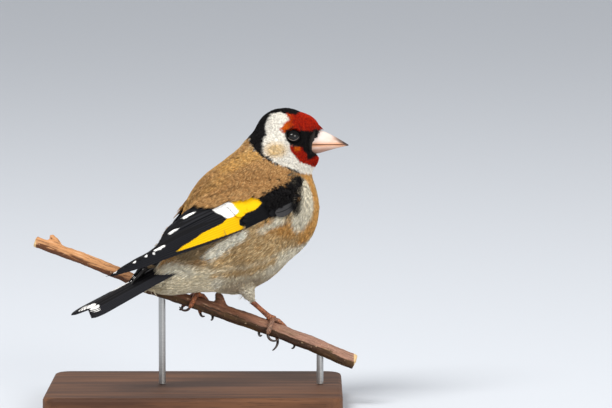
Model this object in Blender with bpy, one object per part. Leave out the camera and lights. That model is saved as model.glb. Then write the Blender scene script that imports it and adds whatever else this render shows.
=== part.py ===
"""A life-size European goldfinch on a cut twig, held over a flat base by two rods.

Metres, +Z up. The head looks along +X, the body is turned from +X towards +Y, and the
twig runs along X. The origin is the middle of the base's underside. Sizes below are in
millimetres, and link() brings each finished mesh to metres.
"""

import math

import bmesh
import bpy
from mathutils import Matrix, Vector

MM = 0.001
GAP = 0.3
# Points nearer than this are one, and how far cutters move where surfaces all but touch
WELDS = (0.0003, 0.0011)
HAIR = Vector((0.012, -0.017, 0.023))
HAIR_TURNS = 20

# Where the bird stands along X, and how far body and head are turned
BIRD_X = 13.0
BODY_TURN = math.radians(30)
HEAD_TURN = math.radians(3)

# Ellipsoids that blend into the body. Each is its centre forward and up, its half length,
# half depth and half width, and the pitch of its length above the level, in degrees.
BODY_LUMPS = {
    "breast": (15.5, 70.5, 20.5, 18.5, 18.5, 64),
    "belly": (5.0, 60.2, 23.0, 17.0, 17.0, 38),
    "mantle": (-0.5, 70.8, 22.5, 15.8, 16.0, 50),
    "shoulders": (6.8, 79.6, 16.5, 12.6, 14.0, 50),
    "flank": (-5.0, 57.0, 20.0, 14.0, 14.5, 26),
    "vent": (-15.0, 50.6, 20.5, 7.6, 9.0, 15),
    "rump": (-13.0, 59.5, 17.0, 9.0, 10.5, 42),
    "nape": (13.4, 89.2, 11.0, 9.4, 11.5, 60),
    "throat": (21.0, 84.0, 11.0, 10.5, 12.0, 80),
}
# The same for the head, about its own centre
HEAD_CENTRE = Vector((33.4, 11.2, 96.8))
HEAD_LUMPS = {
    "skull": (-1.4, 1.3, 11.0, 9.8, 9.9, 0),
    "forehead": (4.9, 2.0, 7.8, 7.2, 6.6, -30),
    "face": (4.8, -0.6, 7.0, 7.6, 7.2, -20),
    "cheek": (-1.5, -4.0, 9.5, 7.5, 9.4, -10),
    "chin": (6.8, -6.6, 6.0, 4.8, 5.6, -50),
}
BODY_VOXEL = 1.7
SMOOTH_TURNS = 10
BODY_SHARE = 0.42
# Cuts that part head, neck and torso: a point on each and the way it faces
HEAD_CUT = (Vector((31.0, 11.0, 89.6)), Vector((0.39, 0.0, 0.92)))
NECK_CUT = (Vector((26.0, 8.0, 83.5)), Vector((0.33, 0.08, 0.94)))

# Eyes, placed about the head's centre
EYE_RADIUS = 2.4
EYE_PLACE = Vector((1.7, 7.7, 1.0))
LID_RADIUS = 1.95
LID_THICK = 0.4

# The bill about the head's centre: forward, culmen, gape line, lower edge, half width
BILL_STATIONS = [
    (7.8, 3.0, -2.3, -6.0, 3.5),
    (11.0, 2.5, -2.4, -5.7, 3.2),
    (14.0, 1.2, -2.5, -5.0, 2.5),
    (17.0, -0.5, -2.65, -4.2, 1.7),
    (19.6, -1.9, -2.85, -3.6, 0.9),
    (21.3, -2.75, -3.05, -3.35, 0.3),
]
NOSTRIL_PLACE = Vector((12.6, 1.9, 0.6))
NOSTRIL_RADIUS = 0.45

# Lower and upper edge of the folded right wing in the body's frame, from wrist to tip
WING_LOWER = [
    (0.0, Vector((16.0, -15.8, 73.0))),
    (0.2, Vector((1.6, -19.5, 68.4))),
    (0.48, Vector((-17.5, -16.5, 62.1))),
    (0.65, Vector((-27.9, -10.5, 58.0))),
    (0.82, Vector((-37.4, -3.5, 53.6))),
    (1.0, Vector((-47.7, 3.5, 49.7))),
]
WING_UPPER = [
    (0.0, Vector((16.5, -14.0, 82.0))),
    (0.2, Vector((1.0, -13.5, 80.0))),
    (0.35, Vector((-8.0, -10.0, 77.5))),
    (0.5, Vector((-18.6, -6.0, 72.6))),
    (0.6, Vector((-24.0, -3.5, 67.6))),
    (0.75, Vector((-31.6, -1.6, 59.6))),
    (0.9, Vector((-40.5, 1.2, 53.8))),
    (1.0, Vector((-47.2, 3.2, 50.0))),
]
# The same for the left wing, mirrored: it is held lower behind and its tip lies on the tail
LEFT_LOWER = [
    (0.0, Vector((16.0, -15.8, 73.0))),
    (0.2, Vector((1.6, -19.5, 68.4))),
    (0.48, Vector((-15.5, -17.0, 57.6))),
    (0.65, Vector((-24.5, -11.8, 54.0))),
    (0.82, Vector((-32.5, -6.4, 51.4))),
    (1.0, Vector((-40.5, -1.0, 47.8))),
]
LEFT_UPPER = [
    (0.0, Vector((16.5, -14.0, 82.0))),
    (0.2, Vector((1.0, -13.5, 80.0))),
    (0.35, Vector((-7.5, -10.0, 74.2))),
    (0.5, Vector((-17.0, -6.5, 67.6))),
    (0.6, Vector((-21.5, -4.5, 63.0))),
    (0.75, Vector((-27.5, -3.0, 56.6))),
    (0.9, Vector((-35.5, -1.8, 51.9))),
    (1.0, Vector((-40.2, -1.0, 48.4))),
]
VANE_THICK = 0.5

# Tail: its root and tip in the body's frame, and its turn about its own length
TAIL_ROOT = Vector((-24.0, 0.0, 53.2))
TAIL_TIP = Vector((-63.3, 0.0, 36.2))
TAIL_ROLL = math.radians(-5)
# How far short of the tip the middle feathers end, and what each outer one gains
TAIL_NOTCH = 5.6
TAIL_FORK_FAR = 0.8
TAIL_FORK_NEAR = 0.35

# The twig: its middle line along X and up, and its radius there
TWIG_LINE = [
    (-57.6, 59.9, 2.0),
    (-41.4, 54.0, 2.05),
    (-26.3, 47.9, 2.15),
    (-18.0, 43.6, 2.1),
    (-9.7, 40.6, 1.85),
    (-1.8, 38.2, 2.1),
    (10.8, 34.2, 2.8),
    (25.9, 28.8, 2.65),
    (41.4, 23.0, 2.7),
    (57.6, 16.0, 2.75),
]

BASE_SIZE = Vector((106.0, 74.0, 8.0))
BASE_ROUND = 1.2
ROD_RADIUS = 1.25
ROD_PLACES = {"rear": -12.0, "front": 45.0}


def clear_scene():
    for obj in list(bpy.data.objects):
        bpy.data.objects.remove(obj)


def link(name, bm):
    """Closes the mesh, turns its faces outward, brings it to metres and shades it smooth."""
    bmesh.ops.recalc_face_normals(bm, faces=bm.faces)
    bmesh.ops.scale(bm, vec=(MM, MM, MM), verts=bm.verts)
    mesh = bpy.data.meshes.new(name)
    bm.to_mesh(mesh)
    bm.free()
    obj = bpy.data.objects.new(name, mesh)
    bpy.context.scene.collection.objects.link(obj)
    return obj


def apply_modifiers(obj):
    graph = bpy.context.evaluated_depsgraph_get()
    mesh = bpy.data.meshes.new_from_object(obj.evaluated_get(graph))
    obj.modifiers.clear()
    obj.data = mesh


def closed_groups(bm):
    """The faces in groups that hang together over edges of exactly two faces."""
    seen = set()
    groups = []
    for start in bm.faces:
        if start in seen:
            continue
        group = {start}
        front = [start]
        while front:
            face = front.pop()
            for edge in face.edges:
                if len(edge.link_faces) != 2:
                    continue
                for other in edge.link_faces:
                    if other not in group:
                        group.add(other)
                        front.append(other)
        seen |= group
        groups.append(group)
    return groups


def keep_largest(obj):
    """Leaves only the closed surface with the largest area."""
    bm = bmesh.new()
    bm.from_mesh(obj.data)
    bmesh.ops.remove_doubles(bm, verts=bm.verts, dist=1e-7)
    groups = closed_groups(bm)
    largest = max(groups, key=lambda group: sum(face.calc_area() for face in group))
    extra = [face for face in bm.faces if face not in largest]
    bmesh.ops.delete(bm, geom=extra, context="FACES")
    loose = [vert for vert in bm.verts if not vert.link_faces]
    bmesh.ops.delete(bm, geom=loose, context="VERTS")
    bm.to_mesh(obj.data)
    bm.free()


def faults(obj, least):
    """How many edges lack two faces, now and once points that all but touch are one."""
    bm = bmesh.new()
    bm.from_mesh(obj.data)
    if sum(face.calc_area() for face in bm.faces) < least:
        bm.free()
        return math.inf
    count = 100 * sum(len(edge.link_faces) != 2 for edge in bm.edges)
    bmesh.ops.triangulate(bm, faces=bm.faces)
    for weld in WELDS:
        bmesh.ops.remove_doubles(bm, verts=bm.verts, dist=weld * MM)
        count += sum(len(edge.link_faces) != 2 for edge in bm.edges)
        count += len(closed_groups(bm)) - 1
    bm.free()
    return count


def combine(obj, others, operation):
    """Joins or cuts obj with all the others in one Boolean, and removes them.

    Where surfaces of the result all but touch, it is done again with the others moved a
    hair, and the soundest result stays.
    """
    helpers = bpy.data.collections.new("helpers")
    bpy.context.scene.collection.children.link(helpers)
    for other in others:
        bpy.context.scene.collection.objects.unlink(other)
        helpers.objects.link(other)
    start = obj.data.copy()
    least = 0.2 * sum(polygon.area for polygon in start.polygons)
    best = None
    for turn in range(HAIR_TURNS):
        for index, other in enumerate(others):
            other.location = HAIR * (turn // 2 * MM * (1 + index * 3 % 5))
        obj.data = start.copy()
        boolean = obj.modifiers.new("combine", "BOOLEAN")
        boolean.operation = operation
        boolean.operand_type = "COLLECTION"
        boolean.collection = helpers
        boolean.solver = "EXACT" if turn % 2 == 0 else "MANIFOLD"
        bpy.context.view_layer.update()
        apply_modifiers(obj)
        keep_largest(obj)
        count = faults(obj, least)
        if best is None or count < best[0]:
            best = (count, obj.data)
        if count == 0:
            break
    obj.data = best[1]
    for other in others:
        bpy.data.objects.remove(other)
    bpy.data.collections.remove(helpers)


def grown(obj, name, amount):
    """A copy of obj whose surface lies the given amount further out."""
    bm = bmesh.new()
    bm.from_mesh(obj.data)
    bm.normal_update()
    for vert in bm.verts:
        vert.co += vert.normal * (amount * MM)
    mesh = bpy.data.meshes.new(name)
    bm.to_mesh(mesh)
    bm.free()
    copy = bpy.data.objects.new(name, mesh)
    bpy.context.scene.collection.objects.link(copy)
    return copy


def body_frame():
    return Matrix.Translation((BIRD_X, 0, 0)) @ Matrix.Rotation(BODY_TURN, 4, "Z")


def head_frame():
    return Matrix.Translation(HEAD_CENTRE) @ Matrix.Rotation(HEAD_TURN, 4, "Z")


def add_ellipsoid(bm, frame, lump, segments=24, rings=16):
    forward, up, half_length, half_depth, half_width, pitch = lump
    place = (
        frame
        @ Matrix.Translation((forward, 0, up))
        @ Matrix.Rotation(-math.radians(pitch), 4, "Y")
        @ Matrix.Diagonal((half_length, half_width, half_depth, 1))
    )
    bmesh.ops.create_uvsphere(bm, u_segments=segments, v_segments=rings, radius=1, matrix=place)


def add_tube(bm, points, radii, sides=8, phase=0.0):
    """A closed round tube through the points, with its own radius at each."""
    side = None
    rings = []
    for index, point in enumerate(points):
        before = points[max(index - 1, 0)]
        after = points[min(index + 1, len(points) - 1)]
        along = (after - before).normalized()
        if side is None:
            side = along.orthogonal()
        side = (side - along * side.dot(along)).normalized()
        up = along.cross(side)
        ring = []
        for step in range(sides):
            angle = 2 * math.pi * step / sides + phase
            turned = side * math.cos(angle) + up * math.sin(angle)
            ring.append(bm.verts.new(point + turned * radii[index]))
        rings.append(ring)
    for first, second in zip(rings, rings[1:]):
        for step in range(sides):
            after = (step + 1) % sides
            bm.faces.new((first[step], first[after], second[after], second[step]))
    bm.faces.new(rings[0])
    bm.faces.new(rings[-1])


def make_body():
    bm = bmesh.new()
    for lump in BODY_LUMPS.values():
        add_ellipsoid(bm, body_frame(), lump)
    for lump in HEAD_LUMPS.values():
        add_ellipsoid(bm, head_frame(), lump)
    body = link("body", bm)
    remesh = body.modifiers.new("blend", "REMESH")
    remesh.mode = "VOXEL"
    remesh.voxel_size = BODY_VOXEL * MM
    smooth = body.modifiers.new("smooth", "SMOOTH")
    smooth.factor = 0.5
    smooth.iterations = SMOOTH_TURNS
    thin = body.modifiers.new("thin", "DECIMATE")
    thin.ratio = BODY_SHARE
    apply_modifiers(body)
    keep_largest(body)
    return body


def slice_of(body, name, above, below):
    """The piece of the body over one cut and under the other, with flat closed ends."""
    bm = bmesh.new()
    bm.from_mesh(body.data)
    for cut, side in ((above, 1), (below, -1)):
        if cut is None:
            continue
        point, normal = cut
        normal = normal.normalized() * side
        bmesh.ops.bisect_plane(
            bm,
            geom=bm.verts[:] + bm.edges[:] + bm.faces[:],
            plane_co=(point + normal * (GAP / 2)) * MM,
            plane_no=-normal,
            clear_outer=True,
        )
        open_edges = [edge for edge in bm.edges if edge.is_boundary]
        bmesh.ops.contextual_create(bm, geom=open_edges)
    bmesh.ops.scale(bm, vec=(1 / MM, 1 / MM, 1 / MM), verts=bm.verts)
    obj = link(name, bm)
    keep_largest(obj)
    return obj


def between(table, x):
    """The value at x along a table of (x, value) pairs, straight between them."""
    if x <= table[0][0]:
        return table[0][1]
    for (x0, v0), (x1, v1) in zip(table, table[1:]):
        if x <= x1:
            return v0 + (v1 - v0) * (x - x0) / (x1 - x0)
    return table[-1][1]


def wing_edge(table, t):
    """A point of one wing edge, curved smoothly between its listed points."""
    last = len(table) - 1
    index = max(i for i in range(last) if table[i][0] <= t or i == 0)
    t0, start = table[index]
    t1, end = table[index + 1]
    s = (t - t0) / (t1 - t0)
    before = table[max(index - 1, 0)]
    after = table[min(index + 2, last)]
    lead = (end - before[1]) / (t1 - before[0]) * (t1 - t0)
    trail = (after[1] - start) / (after[0] - t0) * (t1 - t0)
    s = max(0.0, min(1.0, s))
    curve = start * (2 * s**3 - 3 * s**2 + 1) + lead * (s**3 - 2 * s**2 + s)
    curve += end * (3 * s**2 - 2 * s**3) + trail * (s**3 - s**2)
    return curve


def wing_point(side, t, d, h):
    """A point of the folded wing: t along, d up from the lower edge, h out from the body."""
    lows, highs = (LEFT_LOWER, LEFT_UPPER) if side > 0 else (WING_LOWER, WING_UPPER)
    lower = wing_edge(lows, t)
    across = wing_edge(highs, t) - lower
    share = d / across.length
    ahead = wing_edge(lows, min(t + 0.05, 1)) - wing_edge(lows, max(t - 0.05, 0))
    out = ahead.cross(across).normalized()
    if out.y > 0:
        out = -out
    bulge = 2.4 * math.sin(math.pi * max(0.0, min(1.0, share))) * (1 - max(0.0, t) * 0.8)
    point = lower + across * share + out * (bulge + h)
    if side > 0:
        point.y = -point.y
        out.y = -out.y
    return body_frame() @ point, body_frame().to_3x3() @ out


def add_vane(bm, at, shift=0.0):
    """A closed thin vane. at(s, c) gives a point of its outer face and the way it faces."""
    thick = VANE_THICK
    stations = (0.0, 0.30 + shift, 0.62 + shift, 0.88, 1.0)
    rows = []
    for s in stations:
        row = []
        for c in (-1, 0, 1):
            point, out = at(s, c)
            depth = thick * (0.6 if s == stations[-1] else 1.0)
            lift = 0.1 if c == 0 else 0.0
            outer = bm.verts.new(point + out * lift)
            inner = bm.verts.new(point - out * (depth - lift))
            row.append((outer, inner))
        rows.append(row)
    for first, second in zip(rows, rows[1:]):
        for i in (0, 1):
            for layer in (0, 1):
                a = first[i][layer]
                b = first[i + 1][layer]
                c = second[i + 1][layer]
                d = second[i][layer]
                if i == 0:
                    bm.faces.new((a, b, c))
                    bm.faces.new((a, c, d))
                else:
                    bm.faces.new((a, b, d))
                    bm.faces.new((b, c, d))
        for i in (0, 2):
            bm.faces.new((first[i][0], second[i][0], second[i][1], first[i][1]))
    for row in (rows[0], rows[-1]):
        for i in (0, 1):
            bm.faces.new((row[i][0], row[i + 1][0], row[i + 1][1], row[i][1]))


def vane_width(s):
    """How wide a vane is along its length, against its widest."""
    return between(((0.0, 0.6), (0.32, 1.0), (0.65, 1.0), (0.88, 0.78), (1.0, 0.32)), s)


def wing_vane(side, reach, edge, width, height, number):
    """One wing feather from t = reach[0] to reach[1].

    edge gives how far its lower side lies up from the wing's lower edge at root, middle and
    tip, and height how far it lies out at root and tip.
    """
    bm = bmesh.new()

    def at(s, c):
        t = reach[0] + (reach[1] - reach[0]) * s
        low = edge[0] * (1 - s) * (1 - 2 * s) + edge[1] * 4 * s * (1 - s) + edge[2] * s * (2 * s - 1)
        d = low + (c + 1) / 2 * width * vane_width(s)
        return wing_point(side, t, d, height[0] + (height[1] - height[0]) * s)

    add_vane(bm, at, 0.017 * (number % 4))
    return link("vane", bm)


PRIMARY_TIPS = (0.97, 1.0, 0.985, 0.955, 0.9, 0.855, 0.825, 0.8, 0.775)
TERTIAL_TIPS = (0.67, 0.585, 0.49)


def wing_feathers(side):
    """Flight feathers from the lower edge up, then the coverts that lie over their roots."""
    vanes = []
    layer = 0.21
    for k, tip in enumerate(PRIMARY_TIPS):
        h = -0.9 + layer * k
        edge = (1.0 + 0.55 * k, 0.15 + 0.72 * k, 0.05 + 0.3 * k)
        vanes.append(wing_vane(side, (0.10 + 0.008 * k, tip), edge, 4.4, (h, h + 0.3 - 0.04 * k), k))
    for k in range(4):
        h = -0.9 + layer * (9 + k)
        edge = (5.6 + 1.1 * k, 5.9 + 1.1 * k, 2.7 + 0.9 * k)
        reach = (0.16 + 0.01 * k, 0.755 - 0.014 * k)
        vanes.append(wing_vane(side, reach, edge, 4.6, (h, h - 0.5), k + 1))
    for k, tip in enumerate(TERTIAL_TIPS):
        h = -0.9 + layer * (13 + k)
        edge = (8.6 + 0.9 * k, 8.8 + 1.4 * k, 5.8 + 2.6 * k)
        vanes.append(wing_vane(side, (0.22 - 0.01 * k, tip), edge, 5.4, (h, h - 0.4), k + 2))
    for k in range(4):
        h = 0.7 + 0.23 * k
        edge = (3.0 + 2.0 * k, 2.6 + 2.4 * k, 3.0 + 2.4 * k)
        reach = (0.10 + 0.007 * k, 0.345 + 0.011 * k)
        vanes.append(wing_vane(side, reach, edge, 4.2, (h, h + 0.5), k + 3))
    return vanes


def make_wing(side):
    """The arm of the folded wing, with all its feathers joined to it."""
    bm = bmesh.new()
    rows = []
    steps = 5
    for i in range(steps + 1):
        t = 0.30 * i / steps
        row = []
        for j in range(steps + 1):
            x = 2 * i / steps - 1
            y = 2 * j / steps - 1
            high = (1 - x**4) * (1 - y**4)
            span = (wing_edge(WING_UPPER, t) - wing_edge(WING_LOWER, t)).length
            full = math.sqrt(1 - max(0.0, 1 - (t + 0.01) / 0.12) ** 2)
            d = span / 2 + (span / 2 - 0.6) * y * full
            outer, _ = wing_point(side, t, d, -1.3 + 2.3 * high)
            inner, _ = wing_point(side, t, d, -1.8 - 1.2 * high)
            row.append((bm.verts.new(outer), bm.verts.new(inner)))
        rows.append(row)
    for i in range(steps):
        for j in range(steps):
            for layer in (0, 1):
                quad = (rows[i][j], rows[i][j + 1], rows[i + 1][j + 1], rows[i + 1][j])
                bm.faces.new([pair[layer] for pair in quad])
    rim = rows[0][:-1] + [row[-1] for row in rows[:-1]]
    rim += rows[-1][:0:-1] + [row[0] for row in rows[:0:-1]]
    for first, second in zip(rim, rim[1:] + rim[:1]):
        bm.faces.new((first[0], second[0], second[1], first[1]))
    name = "wing_left" if side > 0 else "wing_right"
    wing = link(name, bm)
    combine(wing, wing_feathers(side), "UNION")
    return wing


def tail_frame():
    """Origin at the tail's root, X back along it, Z out of its upper side."""
    along = (TAIL_TIP - TAIL_ROOT).normalized()
    side = Vector((0, 1, 0))
    up = side.cross(along)
    if up.z < 0:
        up = -up
    side = up.cross(along)
    frame = Matrix((along, side, up)).transposed().to_4x4()
    turn = Matrix.Rotation(TAIL_ROLL, 4, "X")
    return body_frame() @ Matrix.Translation(TAIL_ROOT) @ frame @ turn


def make_tail():
    """Twelve feathers in two halves, the middle pair on top, joined at a root wedge."""
    frame = tail_frame()
    length = (TAIL_TIP - TAIL_ROOT).length
    bm = bmesh.new()
    place = frame @ Matrix.Translation((4.0, 0, -0.9)) @ Matrix.Diagonal((8.0, 4.6, 1.9, 1))
    bmesh.ops.create_uvsphere(bm, u_segments=16, v_segments=10, radius=1, matrix=place)
    tail = link("tail", bm)
    vanes = []
    for k in range(6):
        for half in (-1, 1):
            bm = bmesh.new()
            base = half * (0.8 + 0.62 * k)
            tip = half * (1.0 + 0.88 * k)
            reach = length - TAIL_NOTCH + (TAIL_FORK_NEAR if half > 0 else TAIL_FORK_FAR) * k
            depth = -0.21 * k - (0.1 if half > 0 else 0.0)

            def at(s, c):
                x = 2.0 + (reach - 2.0) * s
                y = base + (tip - base) * s + c * 2.6 * vane_width(s)
                z = depth - 0.05 * abs(c)
                point = frame @ Vector((x, y, z))
                return point, frame.to_3x3() @ Vector((0, 0, 1))

            add_vane(bm, at, 0.013 * k + (0.02 if half > 0 else 0.0))
            vanes.append(link("vane", bm))
    combine(tail, vanes, "UNION")
    return tail


def twig_at(x):
    """Middle, radius and unit directions along and up from the twig at x."""
    for (x0, z0, r0), (x1, z1, r1) in zip(TWIG_LINE, TWIG_LINE[1:]):
        if x <= x1:
            break
    s = (x - x0) / (x1 - x0)
    along = Vector((x1 - x0, 0, z1 - z0)).normalized()
    up = Vector((-along.z, 0, along.x))
    return Vector((x, 0, z0 + (z1 - z0) * s)), r0 + (r1 - r0) * s, along, up


def make_perch(body):
    """The twig with a broken side shoot and a bud, cut where it would reach the torso."""
    bm = bmesh.new()
    points = [Vector((x, 0, z)) for x, z, _ in TWIG_LINE]
    add_tube(bm, points, [r for _, _, r in TWIG_LINE], sides=14)
    perch = link("perch", bm)
    bm = bmesh.new()
    add_tube(
        bm,
        [Vector((9.8, 0, 35.0)), Vector((9.0, 0, 38.6)), Vector((8.4, 0, 41.0)), Vector((8.2, 0, 41.6))],
        [2.3, 1.6, 1.35, 0.8],
        sides=10,
    )
    stub = link("stub", bm)
    bm = bmesh.new()
    add_tube(
        bm,
        [Vector((-49.0, 0, 57.5)), Vector((-50.4, 0.3, 60.3)), Vector((-51.8, 0.5, 61.6)), Vector((-52.6, 0.6, 61.9))],
        [1.5, 1.3, 1.0, 0.4],
        sides=8,
    )
    bud = link("bud", bm)
    combine(perch, [stub, bud], "UNION")
    combine(perch, [grown(body, "cutter", GAP)], "DIFFERENCE")
    return perch


def toe_path(x, run, start, end, thick, steps):
    """Points round the twig from angle start to end, in degrees from its top to +Y."""
    points = []
    for i in range(steps + 1):
        s = i / steps
        middle, radius, _, up = twig_at(x + run * s)
        angle = math.radians(start + (end - start) * s)
        out = up * math.cos(angle) + Vector((0, 1, 0)) * math.sin(angle)
        points.append(middle + out * (radius + GAP + thick))
    return points


# Toes of each foot: X on the twig, run along it, first and last angle round it
FEET = {
    "right": {
        "ankle": Vector((26.3, -0.6, 33.0)),
        "heel": Vector((20.6, -4.6, 38.6)),
        "thigh": Vector((17.6, -6.0, 46.0)),
        "toes": [
            (26.6, 0.2, -8.0, -118.0, 6),
            (27.2, 3.6, 10.0, 150.0, 7),
            (27.6, 8.6, 6.0, 120.0, 7),
            (26.2, -2.2, 10.0, 140.0, 7),
        ],
        "claws": [
            (Vector((0.0, -0.2, -1.0)), Vector((0.95, 0.3, 0.0)), 2.4, 150),
            (Vector((0.1, -0.5, -0.85)), Vector((-1.0, 0.0, 0.0)), 4.2, 62),
            (Vector((0.2, -0.5, -0.85)), Vector((-0.6, -0.8, 0.3)), 3.2, 80),
            (Vector((0.0, -0.7, -0.7)), Vector((0.3, -0.4, 0.5)), 3.2, 80),
        ],
    },
    "left": {
        "ankle": Vector((0.4, 0.4, 42.4)),
        "heel": Vector((-0.5, 2.4, 45.6)),
        "thigh": Vector((-1.4, 4.4, 50.5)),
        "toes": [
            (-0.5, -0.8, -9.0, -125.0, 6),
            (0.3, 2.4, 10.0, 158.0, 7),
            (0.9, 6.0, 4.0, 138.0, 7),
            (-0.9, -2.9, 7.0, 150.0, 7),
        ],
        "claws": [
            (Vector((-0.5, -0.1, -0.85)), Vector((-0.85, 0.0, 0.5)), 2.0, 130),
            (Vector((0.2, -0.7, -0.7)), Vector((0.5, -0.4, 0.6)), 2.8, 70),
            (Vector((0.1, -0.6, -0.8)), Vector((-0.3, -0.6, 0.3)), 2.8, 70),
            (Vector((0.0, -0.7, -0.7)), Vector((-0.4, -0.4, 0.6)), 2.8, 70),
        ],
    },
}
TOE_THICK = 0.72
CLAW_THICK = 0.42


def make_claw(name, start, ahead, curl, radius, sweep):
    ahead = ahead.normalized()
    curl = (curl - ahead * curl.dot(ahead)).normalized()
    bm = bmesh.new()
    points = []
    radii = []
    steps = 5
    for i in range(steps + 1):
        angle = math.radians(sweep) * i / steps
        points.append(start + ahead * (radius * math.sin(angle)) + curl * (radius * (1 - math.cos(angle))))
        radii.append(CLAW_THICK * (1 - 0.8 * i / steps))
    add_tube(bm, points, radii, sides=6)
    return link(name, bm)


def make_foot(side, plan):
    """Toes that wrap the twig, joined at a pad under the ankle, and a claw on each."""
    ankle = plan["ankle"]
    shin = (plan["heel"] - ankle).normalized()
    toes = []
    for number, (x, run, start, end, steps) in enumerate(plan["toes"]):
        path = toe_path(x, run, start, end, TOE_THICK, steps)
        radii = [TOE_THICK * (1.12 if i % 2 else 0.94) for i in range(len(path))]
        radii[0] = TOE_THICK * (0.8 + 0.05 * number)
        radii[-1] = TOE_THICK * 0.72
        bm = bmesh.new()
        add_tube(bm, path, radii, sides=6, phase=0.3 * number)
        toes.append(link("toe", bm))
        ahead, curl, radius, sweep = plan["claws"][number]
        last = (path[-1] - path[-2]).normalized()
        make_claw(f"claw_{side}_{number + 1}", path[-1] + last * GAP, ahead, curl, radius, sweep)
    bm = bmesh.new()
    middle, radius, _, up = twig_at(plan["toes"][0][0] + 0.4)
    pad = middle + up * (radius + GAP + 0.75)
    add_tube(
        bm,
        [pad - up * 0.6, pad, ankle - shin * (GAP + 0.6), ankle - shin * GAP],
        [0.9, 1.15, 1.0, 0.95],
        sides=10,
    )
    foot = link(f"foot_{side}", bm)
    combine(foot, toes, "UNION")
    return foot


def make_leg(side, plan, body):
    """The bare lower leg between ankle and heel, cut where it would reach the torso."""
    bm = bmesh.new()
    heel = plan["heel"]
    ankle = plan["ankle"]
    add_tube(bm, [ankle, ankle.lerp(heel, 0.5), heel], [0.9, 0.72, 0.85], sides=10)
    leg = link(f"leg_{side}", bm)
    combine(leg, [grown(body, "cutter", GAP)], "DIFFERENCE")
    return leg


def make_thigh(side, plan, body):
    """The feathered upper leg, cut to fit against the torso."""
    heel = plan["heel"]
    top = plan["thigh"]
    along = (top - heel).normalized()
    start = heel + along * GAP
    bm = bmesh.new()
    add_tube(
        bm,
        [start, start + along * 0.8, heel.lerp(top, 0.5), top],
        [1.1, 1.7, 2.7, 3.4],
        sides=12,
    )
    thigh = link(f"thigh_{side}", bm)
    combine(thigh, [grown(body, "cutter", GAP)], "DIFFERENCE")
    return thigh


def bill_half(name, upper, amount=0.0):
    """One half of the bill, or with amount a cutter that much larger."""
    bm = bmesh.new()
    rings = []
    sides = 8
    for forward, culmen, gape, lower, half in BILL_STATIONS:
        edge = gape + (GAP / 2 if upper else -GAP / 2)
        height = (culmen - edge if upper else edge - lower) + amount
        ring = []
        for i in range(sides + 1):
            angle = math.pi * i / sides
            y = -math.cos(angle) * (half + amount)
            z = math.sin(angle) ** 0.85 * max(height, 0.12)
            local = Vector((forward, y, edge + z if upper else edge - z))
            ring.append(bm.verts.new(head_frame() @ local))
        rings.append(ring)
    for first, second in zip(rings, rings[1:]):
        for i in range(sides + 1):
            after = (i + 1) % (sides + 1)
            bm.faces.new((first[i], first[after], second[after], second[i]))
    bm.faces.new(rings[0])
    bm.faces.new(rings[-1])
    return link(name, bm)


def bill_cutter():
    """The whole bill, larger by the gap, that opens the head for it."""
    bm = bmesh.new()
    rings = []
    sides = 16
    for forward, culmen, gape, lower, half in BILL_STATIONS:
        middle = (culmen + lower) / 2
        ring = []
        for i in range(sides):
            angle = 2 * math.pi * i / sides
            y = math.cos(angle) * (half + GAP)
            reach = (culmen - gape if math.sin(angle) > 0 else gape - lower) + GAP
            z = gape + math.copysign(abs(math.sin(angle)) ** 0.85, math.sin(angle)) * reach
            ring.append(bm.verts.new(head_frame() @ Vector((forward - GAP, y, z))))
        rings.append(ring)
    for first, second in zip(rings, rings[1:]):
        for i in range(sides):
            after = (i + 1) % sides
            bm.faces.new((first[i], first[after], second[after], second[i]))
    bm.faces.new(rings[0])
    bm.faces.new(rings[-1])
    return link("bill_cutter", bm)


def add_sphere(bm, frame, place, radius, segments=18, rings=12, spin=None):
    matrix = frame @ Matrix.Translation(place) @ (spin or Matrix())
    bmesh.ops.create_uvsphere(bm, u_segments=segments, v_segments=rings, radius=radius, matrix=matrix)


def make_head_parts(head):
    """Lids and sockets on the head, the eyes, and the bill with its nostrils."""
    frame = head_frame()
    lids = []
    sockets = []
    for side, name in ((1, "left"), (-1, "right")):
        place = Vector((EYE_PLACE.x, EYE_PLACE.y * side, EYE_PLACE.z))
        out = Vector((0.16, side, 0.04)).normalized()
        spin = out.to_track_quat("Z", "X").to_matrix().to_4x4()
        bm = bmesh.new()
        add_sphere(bm, frame, place, EYE_RADIUS, spin=spin)
        link(f"eye_{name}", bm)
        bm = bmesh.new()
        add_sphere(bm, frame, place, EYE_RADIUS + GAP, spin=spin)
        sockets.append(link("socket", bm))
        bm = bmesh.new()
        rise = math.sqrt((EYE_RADIUS + GAP) ** 2 - LID_RADIUS**2)
        ring = []
        for i in range(20):
            angle = 2 * math.pi * i / 20
            around = Vector((math.cos(angle) * 1.08, math.sin(angle) * 0.95, 0)) * LID_RADIUS
            ring.append(frame @ (place + spin.to_3x3() @ (around + Vector((0, 0, rise)))))
        add_ring(bm, ring, LID_THICK, 6)
        lids.append(link("lid", bm))
    combine(head, lids, "UNION")
    combine(head, sockets + [bill_cutter()], "DIFFERENCE")
    upper = bill_half("bill_upper", True)
    bill_half("bill_lower", False)
    pits = []
    for side in (1, -1):
        bm = bmesh.new()
        place = Vector((NOSTRIL_PLACE.x, NOSTRIL_PLACE.y * side, NOSTRIL_PLACE.z))
        add_sphere(bm, frame, place, NOSTRIL_RADIUS, segments=8, rings=6)
        pits.append(link("pit", bm))
    combine(upper, pits, "DIFFERENCE")


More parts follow.
